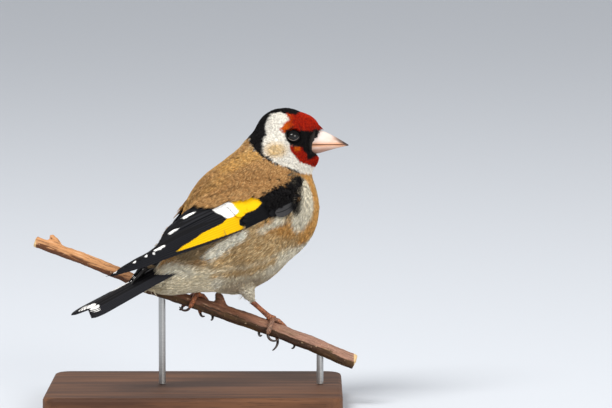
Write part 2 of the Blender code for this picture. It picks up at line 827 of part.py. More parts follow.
def add_ring(bm, points, thick, sides):
    """A closed round ring through the points."""
    count = len(points)
    centre = sum(points, Vector()) / count
    axis = (points[0] - centre).cross(points[count // 4] - centre).normalized()
    rings = []
    for index, point in enumerate(points):
        along = (points[(index + 1) % count] - points[index - 1]).normalized()
        side = along.cross(axis).normalized()
        ring = []
        for step in range(sides):
            angle = 2 * math.pi * step / sides
            ring.append(bm.verts.new(point + (side * math.cos(angle) + axis * math.sin(angle)) * thick))
        rings.append(ring)
    for first, second in zip(rings, rings[1:] + rings[:1]):
        for step in range(sides):
            after = (step + 1) % sides
            bm.faces.new((first[step], first[after], second[after], second[step]))


def make_stand(perch):
    bm = bmesh.new()
    place = Matrix.Translation((0, 0, BASE_SIZE.z / 2)) @ Matrix.Diagonal((*BASE_SIZE, 1))
    bmesh.ops.create_cube(bm, size=1, matrix=place)
    upright = [edge for edge in bm.edges if abs(edge.verts[0].co.z - edge.verts[1].co.z) > 1]
    bmesh.ops.bevel(bm, geom=upright, offset=6.0, segments=5, affect="EDGES", profile=0.5)
    top = [edge for edge in bm.edges if min(vert.co.z for vert in edge.verts) > BASE_SIZE.z - 0.01]
    bmesh.ops.bevel(bm, geom=top, offset=BASE_ROUND, segments=2, affect="EDGES", profile=0.5)
    link("stand_base", bm)
    for name, x in ROD_PLACES.items():
        middle, radius, _, _ = twig_at(x)
        bm = bmesh.new()
        points = [Vector((x, 0, BASE_SIZE.z + GAP)), Vector((x, 0, middle.z))]
        add_tube(bm, points, [ROD_RADIUS, ROD_RADIUS], sides=16)
        rod = link(f"stand_rod_{name}", bm)
        combine(rod, [grown(perch, "cutter", GAP)], "DIFFERENCE")


# Colour and roughness of each kind of node
LOOKS = {
    "eye": ((0.01, 0.008, 0.007, 1), 0.1),
    "bill": ((0.75, 0.6, 0.52, 1), 0.35),
    "claw": ((0.09, 0.05, 0.04, 1), 0.4),
    "foot": ((0.3, 0.13, 0.07, 1), 0.5),
    "leg": ((0.3, 0.13, 0.07, 1), 0.5),
    "thigh": ((0.7, 0.62, 0.5, 1), 0.9),
    "wing": ((0.02, 0.02, 0.024, 1), 0.6),
    "tail": ((0.02, 0.02, 0.024, 1), 0.6),
    "head": ((0.6, 0.05, 0.02, 1), 0.9),
    "neck": ((0.75, 0.68, 0.58, 1), 0.9),
    "torso": ((0.42, 0.25, 0.11, 1), 0.9),
    "perch": ((0.2, 0.11, 0.06, 1), 0.85),
    "stand_base": ((0.1, 0.06, 0.04, 1), 0.5),
    "stand_rod": ((0.5, 0.5, 0.5, 1), 0.35),
}


def finish(obj):
    """Gives the node its material and smooth shading."""
    kind = next(key for key in LOOKS if obj.name.startswith(key))
    colour, rough = LOOKS[kind]
    material = bpy.data.materials.new(obj.name)
    material.use_nodes = True
    shader = material.node_tree.nodes["Principled BSDF"]
    shader.inputs["Base Color"].default_value = colour
    shader.inputs["Roughness"].default_value = rough
    obj.data.materials.clear()
    obj.data.materials.append(material)
    for polygon in obj.data.polygons:
        polygon.use_smooth = not obj.name.startswith("stand_base")


def make_all():
    clear_scene()
    body = make_body()
    head = slice_of(body, "head", HEAD_CUT, None)
    slice_of(body, "neck", NECK_CUT, HEAD_CUT)
    slice_of(body, "torso", None, NECK_CUT)
    make_head_parts(head)
    for side in (-1, 1):
        wing = make_wing(side)
        combine(wing, [grown(body, "cutter", GAP)], "DIFFERENCE")
    tail = make_tail()
    combine(tail, [grown(body, "cutter", GAP)], "DIFFERENCE")
    for side, plan in FEET.items():
        make_foot(side, plan)
        make_leg(side, plan, body)
        make_thigh(side, plan, body)
    perch = make_perch(body)
    make_stand(perch)
    bpy.data.objects.remove(body)
    for obj in bpy.data.objects:
        finish(obj)


make_all()
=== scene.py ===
"""Looks of a life-size goldfinch on a cut twig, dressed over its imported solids.

Sizes are in millimetres, as in the solids' own source, and are brought to metres when a
mesh is made. The bird has two frames of its own: the head's, about its centre, and the
body's, above the floor. In both, X runs forward, Y to the bird's left and Z up.
"""

import functools
import math

import bmesh
import bpy
import numpy as np
from bpy.props import FloatProperty, FloatVectorProperty, IntProperty, PointerProperty
from mathutils import Color, Matrix, Vector, noise
from mathutils.bvhtree import BVHTree
from mathutils.kdtree import KDTree


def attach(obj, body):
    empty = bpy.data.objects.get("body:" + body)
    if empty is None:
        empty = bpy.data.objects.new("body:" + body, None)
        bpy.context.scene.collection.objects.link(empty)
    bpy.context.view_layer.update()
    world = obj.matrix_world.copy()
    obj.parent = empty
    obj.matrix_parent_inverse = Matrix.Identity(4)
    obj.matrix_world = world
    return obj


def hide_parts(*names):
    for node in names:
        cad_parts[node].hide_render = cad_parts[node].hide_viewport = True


bl_info = {
    "name": "Goldfinch dresser",
    "version": (1, 0, 0),
    "blender": (4, 5, 0),
    "location": "View3D > Sidebar > Goldfinch",
    "description": "Builds the skin, coat, feathers, bill, feet, twig and stage of a perched goldfinch",
    "category": "Add Mesh",
}

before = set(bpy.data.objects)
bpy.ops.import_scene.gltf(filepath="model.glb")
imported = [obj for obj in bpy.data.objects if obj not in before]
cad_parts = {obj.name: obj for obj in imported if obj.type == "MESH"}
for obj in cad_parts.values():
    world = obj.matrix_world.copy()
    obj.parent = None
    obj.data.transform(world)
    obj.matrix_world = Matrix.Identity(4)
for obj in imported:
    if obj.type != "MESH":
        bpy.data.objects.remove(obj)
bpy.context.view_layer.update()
# Metres in a millimetre, and the seed of every random draw
MM = 0.001
SEED = 41

# The bird's two frames: origin, and how far X is turned from the row's X
HEAD_CENTRE = np.array((33.4, 11.2, 96.8))
BODY_CENTRE = np.array((13.0, 0.0, 0.0))
TURNS = {"head": math.radians(3), "body": math.radians(30)}
CENTRES = {"head": HEAD_CENTRE, "body": BODY_CENTRE}
# The nodes that the one skin stands for
FLESH = ("head", "neck", "torso", "thigh_left", "thigh_right")


def axes(name):
    """The X, Y and Z ways of one of the bird's frames, in the row's."""
    c, s = math.cos(TURNS[name]), math.sin(TURNS[name])
    return np.array(((c, s, 0), (-s, c, 0), (0, 0, 1)))


def local(points, name):
    """Points of the row's frame, in one of the bird's."""
    return (np.asarray(points, float) - CENTRES[name]) @ axes(name).T


def outer(points, name):
    """Points of one of the bird's frames, in the row's."""
    return np.asarray(points, float) @ axes(name) + CENTRES[name]


def unit(vectors):
    """The same ways, each of length 1."""
    return vectors / np.maximum(np.linalg.norm(vectors, axis=-1, keepdims=True), 1e-9)


# The coat. Each row is a place on the bird's right side or middle, in the frame named:
# the way feathers lie there, their length, the coat's depth, their spacing and width.
COAT = (
    ("head", (9.5, 0, 5.0), (-0.75, 0, 0.65), 1.3, 0.35, 0.42, 0.8),
    ("head", (3.0, 0, 10.5), (-1, 0, 0.1), 2.0, 0.6, 0.5, 1.0),
    ("head", (-7.0, 0, 9.0), (-0.8, 0, -0.55), 2.8, 0.8, 0.6, 1.2),
    ("head", (-13.0, -2, 1.0), (-0.5, 0, -0.85), 3.2, 1.0, 0.7, 1.4),
    ("head", (8.5, -5, 0.5), (-1, 0, 0.25), 1.0, 0.3, 0.38, 0.7),
    ("head", (3.5, -8, 4.0), (-0.95, 0, 0.2), 1.2, 0.35, 0.42, 0.8),
    ("head", (2.0, -8.5, -2.0), (-0.95, 0, -0.3), 1.3, 0.4, 0.42, 0.8),
    ("head", (-4.0, -9.5, 4.0), (-1, 0, -0.1), 2.2, 0.7, 0.5, 1.1),
    ("head", (-5.0, -9.5, -3.0), (-0.9, 0, -0.4), 2.6, 0.8, 0.55, 1.2),
    ("head", (8.0, -3, -8.0), (-0.75, 0, -0.65), 1.3, 0.4, 0.45, 0.8),
    ("head", (4.0, -6, -11.0), (-0.6, 0, -0.8), 2.6, 0.9, 0.6, 1.2),
    ("head", (9.0, 0, -14.0), (-0.2, 0, -1), 3.2, 1.1, 0.7, 1.4),
    ("body", (28.0, -4, 74.0), (-0.15, 0, -1), 4.4, 1.4, 0.85, 1.9),
    ("body", (27.0, -12, 66.0), (-0.3, 0, -0.95), 4.8, 1.6, 0.9, 2.0),
    ("body", (18.0, -17, 75.0), (-0.6, 0, -0.8), 5.4, 1.7, 0.9, 2.0),
    ("body", (20.0, -8, 52.0), (-0.8, 0, -0.65), 6.0, 1.9, 0.95, 2.2),
    ("body", (4.0, -17, 61.0), (-0.86, 0, -0.5), 6.5, 1.9, 0.95, 2.2),
    ("body", (-14.0, -12, 56.0), (-0.93, 0, -0.35), 6.5, 1.8, 0.95, 2.2),
    ("body", (5.0, -4, 43.5), (-0.97, 0, -0.2), 6.5, 1.9, 1.0, 2.2),
    ("body", (-14.0, -4, 43.5), (-1, 0, -0.12), 7.0, 1.6, 1.0, 2.2),
    ("body", (-30.0, 0, 46.0), (-1, 0, -0.3), 8.5, 1.0, 0.9, 2.0),
    ("body", (-30.0, 0, 55.0), (-0.93, 0, -0.4), 5.5, 0.9, 0.85, 1.9),
    ("body", (-20.0, -2, 67.0), (-0.85, 0, -0.6), 5.0, 1.4, 0.9, 1.9),
    ("body", (-8.0, -6, 80.0), (-0.75, 0, -0.68), 4.8, 1.5, 0.85, 1.8),
    ("body", (5.0, -12, 86.0), (-0.7, 0, -0.75), 4.4, 1.4, 0.8, 1.7),
    ("body", (4.0, 0, 91.0), (-0.65, 0, -0.78), 4.0, 1.3, 0.8, 1.6),
)
# Heel of each leg and the top of its thigh, in the row's frame
LEGS = {
    "right": (Vector((20.6, -4.6, 38.6)), Vector((17.6, -6.0, 46.0))),
    "left": (Vector((-0.5, 2.4, 45.6)), Vector((-1.4, 4.4, 50.5))),
}
# Length, depth, spacing and width of the coat down each leg, and where it is listed
THIGH_COAT = (2.6, 0.5, 0.6, 1.2)
THIGH_SHARES = (0.0, 0.35, 0.7)


def coat_table():
    """Places, ways and sizes of the coat over the whole bird, in the row's frame."""
    places, ways, sizes = [], [], []
    for name, place, way, *numbers in COAT:
        for side in (1, -1) if place[1] else (1,):
            mirror = np.array((1, side, 1))
            places.append(outer(np.array(place) * mirror, name))
            ways.append(np.array(way) * mirror @ axes(name))
            sizes.append(numbers)
    for heel, top in LEGS.values():
        for share in THIGH_SHARES:
            places.append(np.array(heel.lerp(top, share)))
            ways.append(np.array(heel - top))
            sizes.append(THIGH_COAT)
    return np.array(places), unit(np.array(ways)), np.array(sizes)


# How a listed place's say falls off with distance, and the distance within which it is full
FALL = 3.5
NEAREST = 0.5


def coat_at(points, normals):
    """Way of lie along the surface, and length, depth, spacing and width, at each point."""
    places, ways, sizes = coat_table()
    far = np.linalg.norm(points[:, None] - places[None], axis=2)
    share = 1 / np.maximum(far, NEAREST) ** FALL
    share /= share.sum(1, keepdims=True)
    way = share @ ways
    way -= normals * (way * normals).sum(1, keepdims=True)
    return unit(way), share @ sizes


# Plumage colours, as sRGB on 255: a main one and the one that single strands lean to
PAINTS = {
    "back": ((168, 122, 72), (224, 184, 128)),
    "ochre": ((200, 150, 82), (234, 196, 132)),
    "tan": ((206, 148, 76), (236, 192, 124)),
    "cream": ((228, 218, 192), (252, 246, 230)),
    "buff": ((222, 206, 172), (250, 242, 220)),
    "flank": ((188, 150, 98), (240, 218, 174)),
    "grey": ((138, 114, 80), (184, 162, 128)),
    # The white of the flank streak, painted warmer and brighter than the other whites as painted light
    # where the wing shades it
    "white_painted_lit": ((252, 242, 220), (255, 252, 238)),
    "white": ((238, 232, 219), (253, 250, 243)),
    "black": ((9, 8, 9), (34, 31, 32)),
    "smoky": ((14, 12, 12), (150, 140, 122)),
    "red": ((138, 10, 5), (216, 56, 14)),
    "orange": ((214, 84, 10), (246, 164, 24)),
    "cheek": ((216, 184, 132), (238, 220, 186)),
}

# Outlines of the head's markings from the side, forward and up from the head's centre
HOOD = (
    (20, -14.8), (12, -14.8), (9.3, -13.5), (7.4, -12.7), (4.0, -12.1), (0.8, -11.0), (-2.6, -9.7),
    (-5.9, -8.3), (-8.9, -6.5), (-12.5, -3.8), (-14.0, -0.9), (-14.4, 1.8), (-16, 5), (-16, 20), (20, 20),
)
CROWN = (
    (7, 14), (6.1, 9.4), (2.7, 8.1), (-0.1, 8.7), (-2.6, 9.5), (-5.9, 9.0), (-7.3, 7.4), (-8.5, 5.3),
    (-8.1, 1.6), (-9.2, 0.1), (-9.6, -4.0), (-8.7, -5.7), (-5.9, -7.9), (-2.6, -9.3), (0.8, -10.6),
    (3.6, -11.7), (3.6, -12.4), (0.8, -11.4), (-2.6, -10.1), (-5.9, -8.7), (-9.2, -6.7),
    (-12.5, -3.8), (-14.0, -0.9), (-14.3, 1.8), (-17, 5), (-14, 15), (0, 18),
)
BLAZE = (
    (-0.4, 8.8), (2.7, 8.0), (6.1, 9.4), (8, 14), (16, 12), (16, 2.0), (9.9, 2.8), (8.5, 2.3), (5.7, 2.6),
    (1.5, 2.9), (-2.0, 2.6), (-2.7, 3.6), (-1.5, 5.2), (0.8, 6.6),
)
LORES = (
    (-1.9, 2.2), (-0.4, 2.9), (1.5, 2.9), (5.7, 2.6), (8.5, 2.3), (9.9, 2.8), (13, 2.4), (13, -6.2),
    (9.8, -6.5), (8.5, -7.2), (7.1, -7.6), (6.9, -5.8), (5.6, -4.2), (5.0, -2.8), (1.0, -2.3), (-0.9, -0.6),
)
CHIN = (
    (0.2, -2.6), (0.8, -4.3), (2.7, -6.5), (4.3, -8.4), (6.3, -9.1), (9.6, -10.6), (12, -10.4), (13, -6.0),
    (9.8, -6.5), (8.5, -7.2), (7.1, -7.6), (6.9, -5.8), (5.6, -4.2), (5.0, -2.8),
)
# Patches and streaks of the body, in its frame: paint, the line they follow, reach, softness
PATCHES = (
    ("grey", ((-22, 8, 60), (-12, 14, 62), (0, 16, 66)), 5.0, 2.0),
    ("flank", ((8.0, 16.8, 66), (0.0, 16.5, 58), (-8, 14, 53)), 7.0, 3.0),
    ("tan", ((26.0, 12.5, 82.0), (28.5, 12.5, 73.0), (28.0, 13.0, 66.0), (23.0, 15.0, 61.0)), 3.2, 1.6),
    ("tan", ((25.0, 14.0, 65.0), (15.0, 17.0, 65.5), (6.0, 17.0, 67.0)), 2.8, 4.5),
    ("buff", ((16.0, 14.0, 52.0), (4.0, 13.0, 48.0), (-12.0, 9.5, 46.0), (-26, 6, 48)), 6.5, 4.0),
    ("buff", ((12, 0, 46), (-16, 0, 42), (-34, 0, 45)), 8.5, 2.5),
    ("cream", ((25.0, 8.0, 58.0), (18.0, 13.0, 54.0), (12.0, 14.0, 51.0)), 4.2, 2.6),
    ("cream", ((27, 0, 82), (30, 0, 70), (24, 0, 58), (12, 0, 47)), 5.5, 2.5),
    ("flank", ((10, 15.0, 54.0), (0.0, 14.5, 51.0), (-12.0, 11.0, 49.5)), 1.5, 1.8),
    ("cream", ((21.5, 15.0, 79.5), (22.4, 16.2, 74.0), (19.0, 17.4, 68.5)), 4.2, 1.6),
    ("cream", ((12.0, 17.5, 69.0), (4.0, 17.0, 65.5)), 1.4, 1.4),
    ("grey", ((-10.0, 13.6, 60.5), (-16.6, 10.9, 57.5), (-22.0, 8.0, 57.5)), 2.6, 1.4),
    # The white flank streak under the wing, in its white with painted light
    ("white_painted_lit", ((-2.4, 15.3, 64.4), (-9.0, 13.6, 60.4), (-14.4, 12.0, 56.6)), 1.9, 1.0),
    ("cream", ((-30.0, 3.0, 54.5), (-26.0, 5.5, 52.0), (-21.0, 9.0, 51.0)), 2.0, 2.0),
    ("cheek", ((8.0, 4.5, 95.3), (4.5, 4.5, 93.0)), 1.8, 1.8),
    ("ochre", ((7.0, 6.5, 92.0), (2.0, 5.0, 90.0), (-3.0, 4.0, 87.0)), 3.4, 3.0),
    ("ochre", ((-6.0, 5.0, 80.0), (-15.0, 4.0, 71.0), (-22, 3.0, 64.0)), 4.0, 5.0),
    ("smoky", ((20.5, 14.4, 83.0), (18.3, 16.0, 78.0), (17.2, 16.8, 72.5)), 2.1, 1.4),
    ("black", ((20.3, 14.2, 82.2), (17.0, 15.2, 80.5), (13.5, 16.5, 78.0), (15.0, 17.5, 74.5)), 2.3, 1.2),
    ("black", ((15.3, 19.6, 78.5), (15.3, 20.0, 75.5), (15.0, 20.0, 72.8)), 2.5, 1.0),
    ("cream", ((4.3, 7.8, 38.6), (2.4, 7.7, 43.0)), 3.2, 1.5),
    ("cream", ((-10.5, 8.8, 45.6), (-10.4, 9.8, 48.0)), 2.2, 1.5),
)
# Where the back's brown gives way to the flank: that line's height over the body's origin,
# its rise forward, and the share of a height over it that lies square to it
FLANK_LINE = (65.0, 0.62, 0.85)
# Width of the soft edge of the head's markings, and how far each grows past its outline
SOFT = 0.5
MARKINGS = (("black", CROWN, 0.15), ("red", BLAZE, 0.25), ("red", CHIN, 0.15))
# Middle and half size of the cheek's buff spot, and middle and radius of the chin's orange
CHEEK_SPOT = ((-4.8, -3.8), (4.4, 2.9))
CHIN_SPOT = ((3.0, -3.4), 1.7)


def linear(colour):
    """An sRGB colour on 255 as linear light on 1."""
    c = np.asarray(colour, float) / 255
    return np.where(c <= 0.04045, c / 12.92, ((c + 0.055) / 1.055) ** 2.4)


def eased(x):
    """0 below 0 and 1 above 1, with a smooth step between."""
    x = np.clip(x, 0, 1)
    return x * x * (3 - 2 * x)


def depth_in(flat, outline):
    """How far each point lies inside an outline, negative outside."""
    corners = np.array(outline, float)
    following = np.roll(corners, -1, axis=0)
    nearest = np.full(len(flat), np.inf)
    inside = np.zeros(len(flat), bool)
    x, y = flat[:, 0], flat[:, 1]
    for (x0, y0), (x1, y1) in zip(corners, following):
        dx, dy = x1 - x0, y1 - y0
        share = np.clip(((x - x0) * dx + (y - y0) * dy) / (dx * dx + dy * dy), 0, 1)
        nearest = np.minimum(nearest, np.hypot(x - x0 - share * dx, y - y0 - share * dy))
        if dy:
            crosses = (y0 > y) != (y1 > y)
            inside ^= crosses & (x < x0 + (y - y0) * dx / dy)
    return np.where(inside, nearest, -nearest)


def far_from(points, line):
    """Each point's distance from a line through the listed places."""
    line = np.array(line, float)
    nearest = np.full(len(points), np.inf)
    for start, end in zip(line, line[1:]):
        along = end - start
        share = np.clip((points - start) @ along / (along @ along), 0, 1)
        nearest = np.minimum(nearest, np.linalg.norm(points - start - share[:, None] * along, axis=1))
    return nearest


def plumage(points):
    """The two plumage colours at each point of the bird, linear."""
    body = local(points, "body")
    body[:, 1] = np.abs(body[:, 1])
    side = local(points, "head")[:, [0, 2]]
    hood = eased(depth_in(side, HOOD) / SOFT + 0.5)
    main = np.zeros((len(points), 3))
    lean = np.zeros((len(points), 3))

    def paint(name, share):
        first, second = PAINTS[name]
        share = share[:, None]
        main[:] = main * (1 - share) + linear(first) * share
        lean[:] = lean * (1 - share) + linear(second) * share

    paint("back", np.ones(len(points)))
    height, rise, square = FLANK_LINE
    level = (body[:, 2] - height - rise * body[:, 0]) * square
    paint("flank", eased((-level - 1.0) / 4.0 + 0.5))
    for name, line, reach, soft in PATCHES:
        paint(name, eased((reach - far_from(body, line)) / soft + 0.5))
    paint("white", hood)
    middle, half = CHEEK_SPOT
    buff = np.hypot(*((side - middle) / half).T)
    paint("cheek", hood * eased((1.3 - buff) / 0.9))
    for name, outline, grow in MARKINGS:
        paint(name, hood * eased((depth_in(side, outline) + grow) / SOFT + 0.5))
    glow = eased((2.4 - side[:, 0]) / 4.0) * eased(depth_in(side, BLAZE) / SOFT + 0.5)
    paint("orange", 0.55 * glow)
    middle, radius = CHIN_SPOT
    spot = np.hypot(*(side - middle).T)
    paint("orange", 0.7 * eased(radius - spot) * eased(depth_in(side, CHIN) / SOFT + 0.5))
    paint("black", eased((depth_in(side, LORES) + 0.2) / 0.4 + 0.5))
    return main, lean


class Socket:
    """A shader socket on which plain arithmetic builds Math nodes."""

    def __init__(self, looks, socket):
        self.looks = looks
        self.socket = socket

    def math(self, operation, *others):
        return self.looks.node("ShaderNodeMath", {"operation": operation}, self, *others)

    def __add__(self, other):
        return self.math("ADD", other)

    __radd__ = __add__

    def __mul__(self, other):
        return self.math("MULTIPLY", other)

    __rmul__ = __mul__

    def __sub__(self, other):
        return self.math("SUBTRACT", other)

    def __rsub__(self, other):
        return self.looks.node("ShaderNodeMath", {"operation": "SUBTRACT"}, other, self)

    def clipped(self, low, high):
        """0 at low and 1 at high, eased between them."""
        settings = {"interpolation_type": "SMOOTHSTEP"}
        return self.looks.node("ShaderNodeMapRange", settings, self, low, high, 0.0, 1.0)


# Places of a Mix node's two colours among its inputs, and of its colour among its outputs
MIX_INPUTS = (6, 7)
MIX_OUTPUT = 2


class Looks:
    """A material under construction."""

    def __init__(self, name, **shader):
        """Starts a material. Further arguments are constants on its shader's sockets."""
        self.material = bpy.data.materials.new(name)
        self.material.use_nodes = True
        self.tree = self.material.node_tree
        self.shader = self.tree.nodes["Principled BSDF"]
        for key, value in shader.items():
            self.feed(key.replace("_", " ").title().replace("Ior", "IOR"), value)

    def feed(self, name, value):
        """Gives one of the shader's sockets a link or a constant."""
        if isinstance(value, Socket):
            self.tree.links.new(value.socket, self.shader.inputs[name])
        else:
            self.shader.inputs[name].default_value = value

    def node(self, kind, settings, *values, out=0, **named):
        """One node: its settings first, then values or links for its inputs."""
        made = self.tree.nodes.new(kind)
        for key, value in settings.items():
            setattr(made, key, value)
        pairs = list(enumerate(values)) + list(named.items())
        for key, value in pairs:
            socket = made.inputs[key if isinstance(key, int) else key.replace("_", " ")]
            if isinstance(value, Socket):
                self.tree.links.new(value.socket, socket)
            else:
                socket.default_value = value
        return Socket(self, made.outputs[out])

    def mixed(self, share, first, second):
        """Two colours mixed: each a link, a colour setting, or sRGB on 255."""
        made = self.node("ShaderNodeMix", {"data_type": "RGBA"}, share, out=MIX_OUTPUT)
        for index, value in zip(MIX_INPUTS, (first, second)):
            end = made.socket.node.inputs[index]
            if isinstance(value, Socket):
                self.tree.links.new(value.socket, end)
            elif isinstance(value, Color):
                end.default_value = (*value, 1)
            else:
                end.default_value = (*linear(value), 1)
        return made

    def attribute(self, name, out="Color"):
        """A colour that the mesh carries, or with out "Fac" a value."""
        return self.node("ShaderNodeAttribute", {"attribute_name": name}, out=out)

    def place(self):
        """Object coordinates, in metres."""
        return self.node("ShaderNodeTexCoord", {}, out="Object")

    def parts(self, vector):
        """The X, Y and Z of a vector."""
        split = self.node("ShaderNodeSeparateXYZ", {}, vector).socket.node
        return [Socket(self, split.outputs[axis]) for axis in "XYZ"]

    def stretched(self, vector, scale, turn=(0.0, 0.0, 0.0)):
        """Coordinates turned and scaled for a pattern that runs one way."""
        return self.node("ShaderNodeMapping", {}, Vector=vector, Rotation=turn, Scale=scale)

    def noise(self, vector, scale, detail=3.0, rough=0.55):
        """Soft noise from 0 to 1."""
        inputs = {"Vector": vector, "Scale": scale, "Detail": detail, "Roughness": rough}
        return self.node("ShaderNodeTexNoise", {}, **inputs)

    def bump(self, height, strength, distance):
        """Fine relief on the shader's normal, its depth in metres."""
        made = self.node("ShaderNodeBump", {}, Strength=strength, Distance=distance, Height=height)
        self.feed("Normal", made)


def settings_of(group):
    """One of the scene's groups of settings."""
    return getattr(bpy.context.scene, group)


def in_mm(length):
    """A length setting, which is kept in metres at single precision, in millimetres."""
    return float(np.float32(round(length / MM, 4)))


def needed(*names):
    """The objects of these names, or an error that says which are still to be built."""
    missing = [name for name in names if name not in bpy.data.objects]
    if missing:
        raise RuntimeError("to be built first: " + ", ".join(missing))
    return [bpy.data.objects[name] for name in names]


def solid(name):
    """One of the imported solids, or an error that names the missing one."""
    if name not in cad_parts:
        raise RuntimeError(f"the pack has no solid named {name}")
    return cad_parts[name]


def finished(obj, looks, body_slot, *nodes):
    """Gives a piece its material and the root body, and hides the nodes that it stands for; its body slot
    is not used.
    """
    obj.data.materials.clear()
    obj.data.materials.append(looks.material)
    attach(obj, "root")
    if nodes:
        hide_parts(*nodes)
    return obj


def linked(name, data):
    """A new object in the scene, at the origin."""
    obj = bpy.data.objects.new(name, data)
    bpy.context.scene.collection.objects.link(obj)
    return obj


def from_bmesh(name, bm, scale=MM):
    """A smooth-shaded object from a bmesh, which is freed."""
    bmesh.ops.scale(bm, vec=(scale,) * 3, verts=bm.verts)
    mesh = bpy.data.meshes.new(name)
    bm.to_mesh(mesh)
    bm.free()
    mesh.shade_smooth()
    return linked(name, mesh)


def applied(obj):
    """The same object with its modifiers made part of its mesh."""
    graph = bpy.context.evaluated_depsgraph_get()
    mesh = bpy.data.meshes.new_from_object(obj.evaluated_get(graph))
    obj.modifiers.clear()
    old = obj.data
    obj.data = mesh
    bpy.data.meshes.remove(old)
    mesh.shade_smooth()
    return obj


def node_mesh(bm, *names):
    """Adds merged copies of these nodes to a bmesh, in metres."""
    for name in names:
        bm.from_mesh(solid(name).data)
    bmesh.ops.remove_doubles(bm, verts=bm.verts, dist=1e-6)
    bm.normal_update()


def softened(name, nodes, grow, voxel, turns):
    """One smooth closed surface over these nodes. Sizes are in millimetres."""
    bm = bmesh.new()
    node_mesh(bm, *nodes)
    for vert in bm.verts:
        vert.co += vert.normal * (grow * MM)
    obj = from_bmesh(name, bm, 1.0)
    remesh = obj.modifiers.new("blend", "REMESH")
    remesh.mode = "VOXEL"
    remesh.voxel_size = voxel * MM
    smooth = obj.modifiers.new("smooth", "SMOOTH")
    smooth.factor = 0.5
    smooth.iterations = turns
    return applied(obj)


def arrays_of(mesh):
    """A mesh's points in millimetres, its normals, and its triangles' points and loops."""
    points = np.empty(len(mesh.vertices) * 3)
    mesh.vertices.foreach_get("co", points)
    normals = np.empty(len(mesh.vertices) * 3)
    mesh.vertices.foreach_get("normal", normals)
    mesh.calc_loop_triangles()
    corners = np.empty(len(mesh.loop_triangles) * 3, int)
    mesh.loop_triangles.foreach_get("vertices", corners)
    loops = np.empty(len(mesh.loop_triangles) * 3, int)
    mesh.loop_triangles.foreach_get("loops", loops)
    points, normals, corners, loops = (x.reshape(-1, 3) for x in (points, normals, corners, loops))
    return points / MM, normals, corners, loops


def set_colours(mesh, name, colours):
    """Stores one linear colour a point."""
    layer = mesh.attributes.new(name, "FLOAT_COLOR", "POINT")
    full = np.ones((len(colours), 4), np.float32)
    full[:, :3] = colours
    layer.data.foreach_set("color", full.ravel())


def set_values(mesh, name, values):
    """Stores one value a point."""
    layer = mesh.attributes.new(name, "FLOAT", "POINT")
    layer.data.foreach_set("value", np.asarray(values, np.float32))


def unwrapped(obj):
    """Lays the skin's own surface out flat as the map OFBake."""
    obj.data.uv_layers.new(name="OFBake")
    bpy.context.view_layer.objects.active = obj
    obj.select_set(True)
    bpy.ops.object.mode_set(mode="EDIT")
    bpy.ops.mesh.select_all(action="SELECT")
    bpy.ops.uv.smart_project(angle_limit=math.radians(66), island_margin=0.004)
    bpy.ops.object.mode_set(mode="OBJECT")
    obj.select_set(False)


class FinchSkin(bpy.types.PropertyGroup):
    """Sizes of the skin and of the coat over it."""

    voxel: FloatProperty(
        name="Skin detail", description="Size of the skin's faces", default=0.0008,
        min=0.0004, unit="LENGTH", precision=5,
    )
    grow: FloatProperty(
        name="Overlap", description="How far the solids grow to meet", default=0.0002,
        min=0.0, unit="LENGTH", precision=5,
    )
    turns: IntProperty(name="Smoothing", description="Turns of smoothing of the skin", default=5, min=0)
    drape: IntProperty(
        name="Shoulder blend", description="Turns of smoothing over the wing's edge", default=30, min=0
    )
    under: FloatProperty(
        name="Shoulder depth", description="How far the blend over the wing's edge lies in",
        default=0.0013, min=0.0, unit="LENGTH", precision=5,
    )
    sink: FloatProperty(
        name="Root depth", description="How far roots start under the skin", default=0.0002,
        min=0.0, unit="LENGTH", precision=5,
    )
    strands: IntProperty(
        name="Strands", description="Strands in a tuft of the body", default=12, min=2
    )
    head_strands: IntProperty(
        name="Head strands", description="Strands in a tuft of the head", default=8, min=2
    )


class FinchColours(bpy.types.PropertyGroup):
    """Colours of the feathers and bare parts that are each of one main colour."""

    wing_black: FloatVectorProperty(
        name="Flight feathers", description="Black of wings and tail", subtype="COLOR", min=0.0, max=1.0,
        default=tuple(linear((9, 9, 12))),
    )
    wing_yellow: FloatVectorProperty(
        name="Wing bar", description="Yellow of the wing bar", subtype="COLOR", min=0.0, max=1.0,
        default=tuple(linear((234, 178, 0))),
    )
    wing_white: FloatVectorProperty(
        name="Feather tips", description="White of the feather tips", subtype="COLOR", min=0.0, max=1.0,
        default=tuple(linear((246, 245, 242))),
    )
    bill: FloatVectorProperty(
        name="Bill", description="Pale horn of the bill", subtype="COLOR", min=0.0, max=1.0,
        default=tuple(linear((216, 180, 160))),
    )
    leg: FloatVectorProperty(
        name="Legs", description="Skin of legs and feet", subtype="COLOR", min=0.0, max=1.0,
        default=tuple(linear((180, 108, 66))),
    )


def skin_looks():
    """The coat's own markings, darkened as painted shade and a little dulled by a fine grain."""
    looks = Looks("finch_skin", Roughness=0.85)
    fine = looks.noise(looks.place(), 2400.0)
    grain = fine.clipped(0.3, 0.8) * 0.25
    looks.feed("Base Color", looks.mixed(grain, looks.attribute("hue"), (90, 74, 60)))
    looks.bump(fine, 0.4, 0.0002)
    return looks


def coat_looks(name, sheen):
    """Each strand in the colour that it carries, finely mottled."""
    looks = Looks(name, Roughness=0.85, Specular_Ior_Level=0.06, Sheen_Weight=sheen, Sheen_Roughness=0.6)
    fine = looks.noise(looks.place(), 1500.0, 2.0)
    dim = looks.node("ShaderNodeVectorMath", {"operation": "SCALE"}, looks.attribute("hue"), Scale=0.86)
    looks.feed("Base Color", looks.mixed(fine.clipped(0.35, 0.65), dim, looks.attribute("hue")))
    return looks


# How much further back the face stands round the bill's base, and how much darker the skin is painted than
# the coat's colours, as painted shade deep under the tufts
BILL_GAP = 1.2
SKIN_PAINTED_SHADE = 0.55
# Where that is: how far forward it starts and over what way, and the height of its middle,
# its half height and the way over which it ends
BILL_FROM = (5.5, 3.0)
BILL_HEIGHT = (-1.6, 4.6, 1.8)


